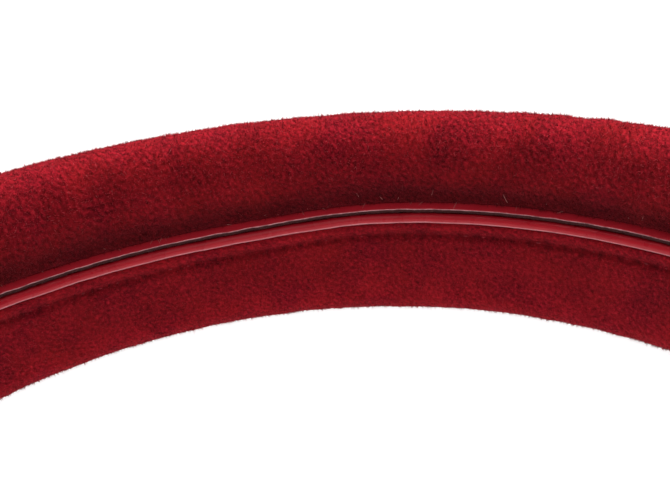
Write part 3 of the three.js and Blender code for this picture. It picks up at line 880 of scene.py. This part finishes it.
def stitch_row(face, seed):
    """Stitches at equal steps along the groove, each a little off its place and its line."""
    sign = 1 if face == "outer" else -1
    rng = np.random.default_rng(seed)
    count = STITCH_COUNT
    angle = BAND_END + (np.arange(count) + 0.5) * 2 * (math.pi - BAND_END) / count
    angle += rng.normal(0, 0.12 * MM, count) / BAND_RADIUS
    height = STITCH_Z + rng.normal(0, 0.05 * MM, count)
    here, axes = band_frames(angle, np.full(count, sign * STITCH_OUT), height, rng.normal(0, 0.05, count))
    made = copies(face + "_stitches", stitch_shape(3.3 * MM, 0.22 * MM, 0.35 * MM), here, axes)
    fit_out(made, thread, "band", face + "_stitch_thread")


stitch_row("inner", 101)
stitch_row("outer", 102)

# ---------------------------------------------------------------------------------------------------------
# End caps: a leather cup glued and stitched over each end of the band. The leather is stretched wet, so it
# creases a little, and its stitch row lies in a shallow dent round the mouth.
# ---------------------------------------------------------------------------------------------------------
CAP_OUT = 8.85 * MM
CAP_UP = 23.5 * MM
CAP_POWER = 3.6
CAP_MOUTH = OPEN + 16 * MM / BAND_RADIUS
CAP_SEAM = CAP_MOUTH - 3.2 * MM / BAND_RADIUS
CAP_SIDES = 168


def cap_outline(sides, inset):
    """A superellipse about the section's middle, at nearly equal steps, drawn in by the inset."""
    turn = np.linspace(0, 2 * math.pi, 2000, endpoint=False)
    c, s = np.cos(turn), np.sin(turn)
    raw = np.stack(
        [
            (CAP_OUT - inset) * np.sign(c) * np.abs(c) ** (2 / CAP_POWER),
            MID_Z + (CAP_UP - inset) * np.sign(s) * np.abs(s) ** (2 / CAP_POWER),
        ],
        -1,
    )
    closed = np.concatenate([raw, raw[:1]])
    run = way_along(closed)
    at = np.linspace(0, run[-1], sides, endpoint=False)
    return np.stack([np.interp(at, run, closed[:, k]) for k in range(2)], -1)


def end_cap(node, side, seed):
    """The cup's outside from the middle of its end wall over the rounded edge to the mouth, then round the
    lip and back along its inside. Creases run along the band and fade towards the stitch row."""
    edge, wall = 2.2 * MM, CAP_LEATHER
    turn = np.linspace(0, math.pi / 2, 9)
    start = OPEN * BAND_RADIUS
    stop = CAP_MOUTH * BAND_RADIUS
    flat = [(start, CAP_OUT * 0.98), (start, CAP_OUT * 0.8), (start, CAP_OUT * 0.6), (start, edge + 0.6 * MM)]
    over = [(start + edge * (1 - math.cos(t)), edge * (1 - math.sin(t))) for t in turn]
    side_run = [(x, 0.0) for x in np.linspace(start + edge, stop - 0.5 * MM, 46)[1:]]
    lip_round = [(stop - 0.5 * MM + 0.5 * MM * math.sin(t), 0.5 * MM * (1 - math.cos(t))) for t in turn[2:]]
    inside = [(stop, wall), (stop - 3 * MM, wall), (start + wall, wall), (start + wall, CAP_OUT * 0.98)]
    path = np.array(flat + over + side_run + lip_round + inside)
    outline = [cap_outline(CAP_SIDES, inset) for inset in path[:, 1]]
    section = np.stack(outline)
    angle = side * (path[:, 0] / BAND_RADIUS)[:, None]
    grid = band_point(angle, section[..., 0], section[..., 1])
    outside = np.arange(len(path)) < len(flat) + len(over) + len(side_run) + 3
    seam = np.exp(-(((path[:, 0] / BAND_RADIUS - CAP_SEAM) * BAND_RADIUS / (0.9 * MM)) ** 2))
    crease = band_noise((len(path) * 2, CAP_SIDES), 1.0 * MM, 5 * MM, seed)[: len(path)]
    fine = band_noise((len(path) * 2, CAP_SIDES), 0.5 * MM, 1.4 * MM, seed + 1)[: len(path)]
    bulge = 0.1 * MM * crease + 0.02 * MM * fine - (0.35 * MM) * seam[:, None]
    normal = outward_normals(grid, band_point(side * (OPEN + 0.07), 0.0, MID_Z))
    fade = smooth((CAP_OUT - path[:, 1]) / (2 * MM))
    grid = grid + normal * (bulge * (outside * fade)[:, None])[..., None]
    made = tube(node, grid)
    point_value(made, "edge", np.repeat(np.exp(-((path[:, 0] - stop) / (0.7 * MM)) ** 2), CAP_SIDES))
    fit_out(made, cap_leather, "band", node)


def cap_finish(wire, place):
    """Cap leather: as the lip's, with a visible pebble grain and a paler burnished line at the mouth."""
    (edge,) = stored(wire, "edge")
    cloud = noise(wire, place, 6 * MM, 3)
    inputs = {"Vector": place, "Scale": 1 / (0.75 * MM)}
    cells = wire.node("ShaderNodeTexVoronoi", {"feature": "SMOOTH_F1"}, inputs)
    base = cloud.blend(rgb(0.15, 0.005, 0.011), rgb(0.235, 0.01, 0.019))
    return {
        "Base Color": (0.55 * edge).blend(base, rgb(0.33, 0.05, 0.05)),
        "Roughness": 0.34 + 0.16 * cloud,
        "Normal": bumped(wire, cells, 0.08 * MM, 0.6),
    }


cap_leather = finish_of("cap_leather", cap_finish, specular_ior_level=0.14)


def cap_stitches(node, side, seed):
    """A row of stitches round the cap's mouth, lying in its dent."""
    rng = np.random.default_rng(seed)
    ring = cap_outline(40, -0.02 * MM)
    after = np.roll(ring, -1, 0)
    middle = (ring + after) / 2
    here = band_point(np.full(40, side * CAP_SEAM), middle[:, 0], middle[:, 1])
    ahead = band_point(np.full(40, side * CAP_SEAM), after[:, 0], after[:, 1]) - here
    ahead = unit(ahead)
    along = band_point(np.full(40, side * (CAP_SEAM + 1e-3)), middle[:, 0], middle[:, 1]) - here
    along = unit(along)
    outward = np.cross(ahead, along)
    centre = band_point(side * CAP_SEAM, 0.0, MID_Z)
    outward *= np.sign(np.sum(outward * (here - centre), 1, keepdims=True))
    sway = rng.normal(0, 0.06, (40, 1))
    ahead = ahead * np.cos(sway) + along * np.sin(sway)
    axes = np.stack([ahead, np.cross(outward, ahead), outward], 1)
    shape = stitch_shape(2.35 * MM, 0.26 * MM, 0.3 * MM)
    made = copies(node, shape, here + 0.02 * MM * outward, axes)
    fit_out(made, thread, "band", node)


end_cap("strap_end_cap", -1, 111)
end_cap("ring_end_cap", 1, 121)
cap_stitches("strap_cap_thread", -1, 131)
cap_stitches("ring_cap_thread", 1, 132)

# ---------------------------------------------------------------------------------------------------------
# Adjuster strap: ribbed elastic sewn to one cap with a bar tack. It runs across the gap, turns round the
# ring's bar and comes back over itself as the tail that is peeled open to change the size.
# ---------------------------------------------------------------------------------------------------------
STRAP_THICK = 1.4 * MM
STRAP_LOW = 10.5 * MM
STRAP_HIGH = 32.5 * MM
BAR_B_ANGLE = math.radians(10.92)
BAR_B_RADIUS = 97.3 * MM
FOLD_RADIUS = 2.3 * MM
RIB_PITCH = 1.1 * MM


def plan(degrees, radius):
    """A point in plan at this angle from the back and this distance from the head's axis."""
    turn = np.radians(degrees)
    return np.stack([radius * np.sin(turn), CENTRE_Y + radius * np.cos(turn)], -1)


def ribbon(name, path, thick, low, high, cell, relief=None, rows_cell=0.6 * MM, wrinkle=0.0, seed=0):
    """A flat strap: a section with half-round edges carried along a path in plan. The relief is a function of
    the way along and up that raises both faces."""
    path = resampled(path, rows_cell)
    run = way_along(path)
    ahead = np.gradient(path, axis=0)
    ahead = unit(ahead)
    normal = np.stack([ahead[:, 1], -ahead[:, 0]], -1)
    radius = thick / 2
    climb = np.linspace(low + radius, high - radius, int((high - low) / cell))
    turn = np.linspace(0, math.pi, 7)[1:-1]
    offset = np.concatenate(
        [np.full(len(climb), radius), radius * np.cos(turn), np.full(len(climb), -radius), -radius * np.cos(turn)]
    )
    z = np.concatenate(
        [climb, high - radius + radius * np.sin(turn), climb[::-1], low + radius - radius * np.sin(turn)]
    )
    raised = np.zeros((len(run), len(z)))
    if relief is not None:
        raised = relief(run[:, None], z[None])
    if wrinkle:
        raised = raised + wrinkle * band_noise((len(run), len(z)), rows_cell, 3 * MM, seed)
    reach = offset + raised * np.sign(offset) * (np.abs(offset) > 0.9 * radius)
    xy = path[:, None] + normal[:, None] * reach[..., None]
    grid = np.concatenate([xy, np.broadcast_to(z[None, :, None], (*reach.shape, 1))], -1)
    made = tube(name, grid)
    point_value(made, "run", np.repeat(run / MM, len(z)))
    point_value(made, "rise", np.tile(z / MM, len(run)))
    return made


def ribs(run, z):
    """Elastic ribs along the strap: rounded ridges one pitch apart, pinched a little at each crossing pick."""
    ridge = np.abs(np.sin(math.pi * (z - STRAP_LOW) / RIB_PITCH))
    return 0.09 * MM * ridge + 0.02 * MM * ridge * np.sin(2 * math.pi * run / (1.3 * MM))


def elastic_finish(wire, place):
    """Knitted elastic: bright ribs with fine slanting loops on them, and dark lines of rubber between."""
    run, rise = stored(wire, "run", "rise")
    rib = (rise * (math.pi / 1.1)).math("SINE", rise * (math.pi / 1.1) - 10.5 * math.pi / 1.1)
    rib = rib.math("ABSOLUTE", rib)
    loops = 0.5 + 0.5 * run.math("SINE", run * (2 * math.pi / 0.55) + rise * (2 * math.pi / 1.1))
    cloud = noise(wire, place, 6 * MM, 2)
    height = 0.7 * rib + 0.3 * loops
    return {
        "Base Color": (0.75 * height + 0.25 * cloud).blend(rgb(0.03, 0.002, 0.004), rgb(0.2, 0.01, 0.02)),
        "Roughness": 0.62 + 0.2 * cloud,
        "Normal": bumped(wire, height, 0.12 * MM, 0.8),
    }


elastic = finish_of(
    "ribbed_elastic",
    elastic_finish,
    sheen_weight=0.2,
    sheen_roughness=0.5,
    sheen_tint=rgb(1.0, 0.2, 0.2),
    specular_ior_level=0.2,
)


def fold_path():
    """Along the gap at the band's radius, then half round the bar."""
    along = plan(np.linspace(-24.1, 10.92, 90), BAND_RADIUS)
    bar = plan(10.92, BAR_B_RADIUS)
    inward = -np.array([math.sin(BAR_B_ANGLE), math.cos(BAR_B_ANGLE)])
    forward = np.array([math.cos(BAR_B_ANGLE), -math.sin(BAR_B_ANGLE)])
    turn = np.linspace(0, math.pi, 25)[1:, None]
    return np.concatenate([along, bar + FOLD_RADIUS * (np.cos(turn) * inward + np.sin(turn) * forward)])


strap = ribbon("strap_elastic", fold_path(), STRAP_THICK, STRAP_LOW, STRAP_HIGH, 0.27 * MM, ribs)
fit_out(strap, elastic, "band", "adjuster_strap")


def tack(node, degrees, radius, low, high, width, seed):
    """A bar tack: close slanting stitches, one above the other, over two long ones."""
    rng = np.random.default_rng(seed)
    count = int((high - low) / (0.42 * MM))
    z = np.linspace(low + 0.25 * MM, high - 0.25 * MM, count)
    turn = math.radians(degrees)
    forward = np.array([math.cos(turn), -math.sin(turn), 0.0])
    outward = np.array([math.sin(turn), math.cos(turn), 0.0])
    slant = np.where(np.arange(count) % 2, 0.16, -0.16) + rng.normal(0, 0.03, count)
    along = np.cos(slant)[:, None] * forward + np.sin(slant)[:, None] * np.array([0, 0, 1.0])
    axes = np.stack([along, np.cross(np.broadcast_to(outward, along.shape), along), outward + 0 * along], 1)
    flat = plan(degrees, radius + 0.25 * MM)
    here = np.column_stack([np.full(count, flat[0]), np.full(count, flat[1]), z])
    made = copies(node, stitch_shape(width, 0.25 * MM, 0.22 * MM), here, axes)
    fit_out(made, thread, "band", node)


tack("strap_bar_tack", -20.9, 96.0 * MM, 13 * MM, 30 * MM, 1.8 * MM, 141)


def tail_path():
    return plan(np.linspace(10.92, -13.95, 80), 99.6 * MM)


tail = ribbon("tail_elastic", tail_path(), STRAP_THICK, STRAP_LOW, STRAP_HIGH, 0.27 * MM, ribs)
dress(tail, elastic)
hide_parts("strap_tail")
plan(10.92, 99.6 * MM)
plan(8.6, 99.6 * MM)
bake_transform(tail)

# ---------------------------------------------------------------------------------------------------------
# Hook and loop: a patch of brushed loops sewn on the strap's outside and a patch of moulded hooks under the
# tail. Pressed together they hold the size.
# ---------------------------------------------------------------------------------------------------------


def loop_finish(wire, place):
    """Brushed loops: a felted tangle, paler where the loops stand up."""
    tangle = noise(wire, place, 0.45 * MM, 4, 0.65)
    cloud = noise(wire, place, 5 * MM, 2)
    return {
        "Base Color": (0.8 * tangle + 0.2 * cloud).blend(rgb(0.02, 0.003, 0.005), rgb(0.13, 0.011, 0.018)),
        "Roughness": 0.85 + 0.1 * tangle,
        "Normal": bumped(wire, tangle, 0.3 * MM),
    }


loop_pile = finish_of("loop_pile", loop_finish, sheen_weight=0.5, sheen_roughness=0.5)


def hook_finish(wire, place):
    """Moulded nylon hooks on a woven ground, a little shiny."""
    cloud = noise(wire, place, 3 * MM, 2)
    weave = noise(wire, place, 0.3 * MM, 2)
    return {
        "Base Color": cloud.blend(rgb(0.035, 0.003, 0.006), rgb(0.08, 0.006, 0.011)),
        "Roughness": 0.4 + 0.2 * weave,
        "Normal": bumped(wire, weave, 0.08 * MM),
    }


hook_nylon = finish_of("hook_nylon", hook_finish)


def patch(name, node, first, last, radius, thick, low, high, material, slot, body, wrinkle, seed):
    path = plan(np.linspace(first, last, 60), radius)
    made = ribbon(name, path, thick, low, high, 0.4 * MM, None, 0.4 * MM, wrinkle, seed)
    fit_out(made, material, body, node)


patch("loop_patch_base", "loop_patch", -14.46, 8.33, 96.5 * MM, 0.95 * MM, 11.5 * MM, 31.5 * MM,
      loop_pile, "loop", "band", 0.06 * MM, 151)
patch("hook_patch_base", "hook_patch", -9.8, 8.33, 98.3 * MM, 0.6 * MM, 11.5 * MM, 31.5 * MM,
      hook_nylon, "hook", "tail", 0.0, 152)


def pile(name, first, last, radius, low, high, pitch, shape, facing, material, slot, body, seed):
    """Rows of equal small pieces standing on a curved patch, each turned at random about its own axis."""
    rng = np.random.default_rng(seed)
    turns = np.arange(math.radians(first), math.radians(last), pitch / radius)
    rises = np.arange(low, high, pitch)
    turn, rise = [v.ravel() for v in np.meshgrid(turns, rises, indexing="ij")]
    turn = turn + rng.normal(0, 0.15 * pitch, len(turn)) / radius
    rise = rise + rng.normal(0, 0.15 * pitch, len(turn))
    outward = facing * np.column_stack([np.sin(turn), np.cos(turn), 0 * turn])
    forward = np.column_stack([np.cos(turn), -np.sin(turn), 0 * turn])
    spin = rng.uniform(0, 2 * math.pi, (len(turn), 1)) if slot == "loop" else np.zeros((len(turn), 1))
    ahead = np.cos(spin) * forward + np.sin(spin) * np.array([0, 0, 1.0])
    axes = np.stack([ahead, np.cross(outward, ahead), outward], 1)
    here = np.column_stack([radius * np.sin(turn), CENTRE_Y + radius * np.cos(turn), rise])
    made = copies(name, shape, here, axes)
    fit_out(made, material, body)


def bent_wire(points, radius, sides=4):
    """A thin bent wire in the xz plane as a stack of rings square to it."""
    points = np.asarray(points, float)
    ahead = np.gradient(points, axis=0)
    ahead = unit(ahead)
    turn = np.arange(sides) * 2 * math.pi / sides
    shape = np.zeros((len(points), sides, 3))
    shape[..., 0] = points[:, :1] - ahead[:, 1:] * radius * np.cos(turn)
    shape[..., 1] = radius * np.sin(turn)
    shape[..., 2] = points[:, 1:] + ahead[:, :1] * radius * np.cos(turn)
    return shape


bow = np.linspace(0, math.pi, 7)
loop_shape = bent_wire(np.stack([0.4 * MM * np.cos(bow), 0.34 * MM * np.sin(bow) - 0.05 * MM], -1), 0.05 * MM)
pile("loop_pile_loops", -14.1, 8.0, 97.0 * MM, 12.2 * MM, 31 * MM, 0.62 * MM, loop_shape, 1,
     loop_pile, "loop", "band", 153)
crook = [(0, -0.1), (0, 0.25), (0.03, 0.38), (0.13, 0.44), (0.24, 0.4), (0.28, 0.3)]
hook_shape = bent_wire(np.array(crook) * MM, 0.065 * MM)
pile("hook_rows", -9.4, 8.0, 98.0 * MM, 12.2 * MM, 31 * MM, 0.8 * MM, hook_shape, -1,
     hook_nylon, "hook", "tail", 154)

# ---------------------------------------------------------------------------------------------------------
# Strap tip: a leather tab folded over the end of the tail to pull it by, with a row of stitches across.
# ---------------------------------------------------------------------------------------------------------
tip_path = plan(np.linspace(-10.49, -16.25, 24), 99.6 * MM)
tip = ribbon("tip_leather", tip_path, 3.4 * MM, 9.4 * MM, 33.6 * MM, 0.6 * MM, None, 0.5 * MM, 0.04 * MM, 161)
point_value(tip, "edge", np.zeros(len(tip.data.vertices)))
fit_out(tip, cap_leather, "tail", "strap_tip")
for face, radius in {"outside": 101.28 * MM, "inside": 97.92 * MM}.items():
    rise = np.arange(11.6, 32, 2.6) * MM
    turn = math.radians(-11.5)
    ahead = np.tile([0.0, 0.0, 1.0], (len(rise), 1))
    outward = np.array([math.sin(turn), math.cos(turn), 0.0]) * (1 if face == "outside" else -1)
    outward = np.tile(outward, (len(rise), 1))
    axes = np.stack([ahead, np.cross(outward, ahead), outward], 1)
    flat = plan(-11.5, radius)
    here = np.column_stack([np.full(len(rise), flat[0]), np.full(len(rise), flat[1]), rise])
    row = copies("tip_stitches_" + face, stitch_shape(2.2 * MM, 0.22 * MM, 0.2 * MM), here, axes)
    fit_out(row, thread, "tail")

# ---------------------------------------------------------------------------------------------------------
# Ring end: a plated wire ring held by a loop of doubled webbing, bar-tacked into the other cap.
# ---------------------------------------------------------------------------------------------------------
WIRE = 1.3 * MM
BAR_A = plan(17.78, BAND_RADIUS)
BAR_B = plan(10.92, BAR_B_RADIUS)
RING_HALF = 13.3 * MM
HEADING = math.radians(21.0)


def chape_path():
    """Out of the cap, round the ring's bar and back in again: two layers lying together."""
    forward = np.array([math.cos(HEADING), -math.sin(HEADING)])
    side = np.array([math.sin(HEADING), math.cos(HEADING)])
    turn = np.linspace(math.radians(40), math.radians(320), 30)[:, None]
    eye = BAR_A + 2.2 * MM * (np.cos(turn) * forward + np.sin(turn) * side)
    leg = ((10.2, 0.62), (7, 0.62), (4.4, 0.62), (3, 0.9))
    out_leg = [BAR_A + d * MM * forward + h * MM * side for d, h in leg]
    back_leg = [BAR_A + d * MM * forward - h * MM * side for d, h in reversed(leg)]
    return np.concatenate([out_leg, eye, back_leg])


def twill(run, z):
    return 0.05 * MM * np.sin(2 * math.pi * (run + 0.5 * z) / (1.4 * MM))


def strap_web_finish(wire, place):
    """Woven webbing: slanting ribs of thread with a fine weave over them."""
    run, rise = stored(wire, "run", "rise")
    slant = 0.5 + 0.5 * run.math("SINE", (run + 0.5 * rise) * (2 * math.pi / 1.4))
    cross = 0.5 + 0.5 * run.math("SINE", rise * (2 * math.pi / 0.7))
    height = 0.6 * slant + 0.4 * cross
    cloud = noise(wire, place, 5 * MM, 2)
    return {
        "Base Color": (0.7 * height + 0.3 * cloud).blend(rgb(0.03, 0.002, 0.004), rgb(0.17, 0.01, 0.018)),
        "Roughness": 0.6 + 0.25 * cloud,
        "Normal": bumped(wire, height, 0.15 * MM, 0.8),
    }


strap_web = finish_of("strap_webbing", strap_web_finish, specular_ior_level=0.2)
chape = ribbon("chape_webbing", chape_path(), 1.1 * MM, 11.5 * MM, 31.5 * MM, 0.4 * MM, twill, 0.4 * MM)
fit_out(chape, strap_web, "band", "chape")
tack("chape_bar_tack", 20.9, 96.5 * MM, 13 * MM, 30 * MM, 1.8 * MM, 142)


def steel_finish(wire, place):
    """Nickel plate: bright, with fine rubbing marks and a slightly duller cloud."""
    cloud = noise(wire, place, 4 * MM, 3)
    rub = noise(wire, place, 0.25 * MM, 2, 0.7)
    return {
        "Base Color": cloud.blend(rgb(0.62, 0.6, 0.57), rgb(0.72, 0.7, 0.66)),
        "Roughness": 0.17 + 0.12 * cloud + 0.06 * rub,
        "Normal": bumped(wire, rub, 0.01 * MM, 0.3),
    }


steel = finish_of("nickel_plate", steel_finish, metallic=1.0)


def square_ring():
    """A round wire bent to a rectangle with rounded corners, and closed on itself."""
    across = BAR_B - BAR_A
    half_wide, corner = np.linalg.norm(across) / 2, 2.6 * MM
    across = np.array([*(across / np.linalg.norm(across)), 0.0])
    upward = np.array([0.0, 0.0, 1.0])
    centre = np.array([*(BAR_A + BAR_B) / 2, MID_Z])
    path = []
    for quarter, (sx, sz) in enumerate([(1, 1), (-1, 1), (-1, -1), (1, -1)]):
        turn = np.linspace(0, math.pi / 2, 9) + quarter * math.pi / 2
        middle = (sx * (half_wide - corner), sz * (RING_HALF - corner))
        path += [(middle[0] + corner * math.cos(t), middle[1] + corner * math.sin(t)) for t in turn]
    path = np.array(path)
    ahead = np.roll(path, -1, 0) - np.roll(path, 1, 0)
    ahead = unit(ahead)
    out = np.stack([ahead[:, 1], -ahead[:, 0]], -1)
    depth = np.cross(across, upward)
    turn = np.linspace(0, 2 * math.pi, 28, endpoint=False)
    flat = path[:, None] + out[:, None] * (WIRE * np.cos(turn))[None, :, None]
    grid = centre + flat[..., :1] * across + flat[..., 1:] * upward
    grid = grid + depth * (WIRE * np.sin(turn))[None, :, None]
    rows, columns = grid.shape[:2]
    faces = grid_faces(rows, columns)
    seam = grid_faces(2, columns) + np.array([(rows - 1) * columns] * 4)
    faces = np.concatenate([faces, np.where(seam >= rows * columns, seam - rows * columns, seam)])
    return new_mesh("ring_wire", grid, faces)


ring = square_ring()
fit_out(ring, steel, "band", "square_ring")

# ---------------------------------------------------------------------------------------------------------
# Studio: a pale lit table, a soft sky and two soft lights above, and the camera over the band's
# closure, looking down at the inner face of its brow side.
# ---------------------------------------------------------------------------------------------------------
CAMERA_BACK = 101.9 * MM
CAMERA_UP = 80.95 * MM
PITCH = math.radians(24.44)
ROLL = math.radians(-5.37)
YAW = math.radians(3.24)


def aim(yaw, pitch, roll):
    """The camera's turn: looking along -Y, swung by yaw, dipped by pitch and rolled about the view."""
    ahead = np.array([-math.sin(yaw) * math.cos(pitch), -math.cos(yaw) * math.cos(pitch), -math.sin(pitch)])
    right = np.array([-math.cos(yaw), math.sin(yaw), 0.0])
    up = np.cross(right, ahead)
    rolled_right = math.cos(roll) * right + math.sin(roll) * up
    rolled_up = math.cos(roll) * up - math.sin(roll) * right
    return np.stack([rolled_right, rolled_up, -ahead], 1)


camera = bpy.data.objects.new("camera", bpy.data.cameras.new("camera"))
bpy.context.scene.collection.objects.link(camera)
bpy.context.scene.camera = camera
camera.data.sensor_width = 36.0
camera.data.lens = 52.98
camera.data.clip_start, camera.data.clip_end = 0.005, 20.0
turn_matrix = np.eye(4)
turn_matrix[:3, :3] = aim(YAW, PITCH, ROLL)
turn_matrix[:3, 3] = (0.0, CENTRE_Y + CAMERA_BACK, MID_Z + CAMERA_UP)
camera.matrix_world = Matrix(turn_matrix.tolist())


def grey(level):
    """A neutral colour."""
    return rgb(level, level, level)


def table_finish(wire, place):
    """Plain pale board, faintly uneven."""
    cloud = noise(wire, place, 0.4, 1)
    return {"Base Color": cloud.blend(grey(0.17), grey(0.2)), "Roughness": 0.9 + 0.05 * cloud}


bpy.ops.mesh.primitive_plane_add(size=60.0, location=(0, 0, 0))
table = bpy.context.object
table.name = "table"
dress(table, finish_of("pale_table", table_finish, emission_color=rgb(1, 1, 1), emission_strength=0.97))

world = bpy.data.worlds.new("soft_sky")
world.use_nodes = True
world.node_tree.nodes.clear()
sky = Wire(world.node_tree)
height = sky.node("ShaderNodeSeparateXYZ", {}, {"Vector": sky.node("ShaderNodeTexCoord", out=0)}, out=2)
glow = height.ramp((0.0, grey(1.02)), (0.06, grey(0.97)), (0.26, grey(0.24)), (1.0, grey(0.18)))
sky.node("ShaderNodeOutputWorld", {}, {"Surface": sky.node("ShaderNodeBackground", {}, {"Color": glow})})
bpy.context.scene.world = world


def soft_light(name, place, target, size, watts):
    """A square soft light at a place, turned to its target."""
    lamp = bpy.data.lights.new(name, "AREA")
    lamp.shape, lamp.size, lamp.energy = "SQUARE", size, watts
    made = bpy.data.objects.new(name, lamp)
    bpy.context.scene.collection.objects.link(made)
    made.location = place
    away = np.array(place) - np.array(target)
    made.rotation_mode = "QUATERNION"
    made.rotation_quaternion = Vector(away).to_track_quat("Z", "Y")


soft_light("overhead", (0.0, -0.25, 0.85), (0, -0.05, 0), 0.5, 13.0)
soft_light("fill", (0.0, 1.0, 1.1), (0, 0, 0.02), 1.4, 6.0)
bpy.context.scene.view_settings.view_transform = "Standard"
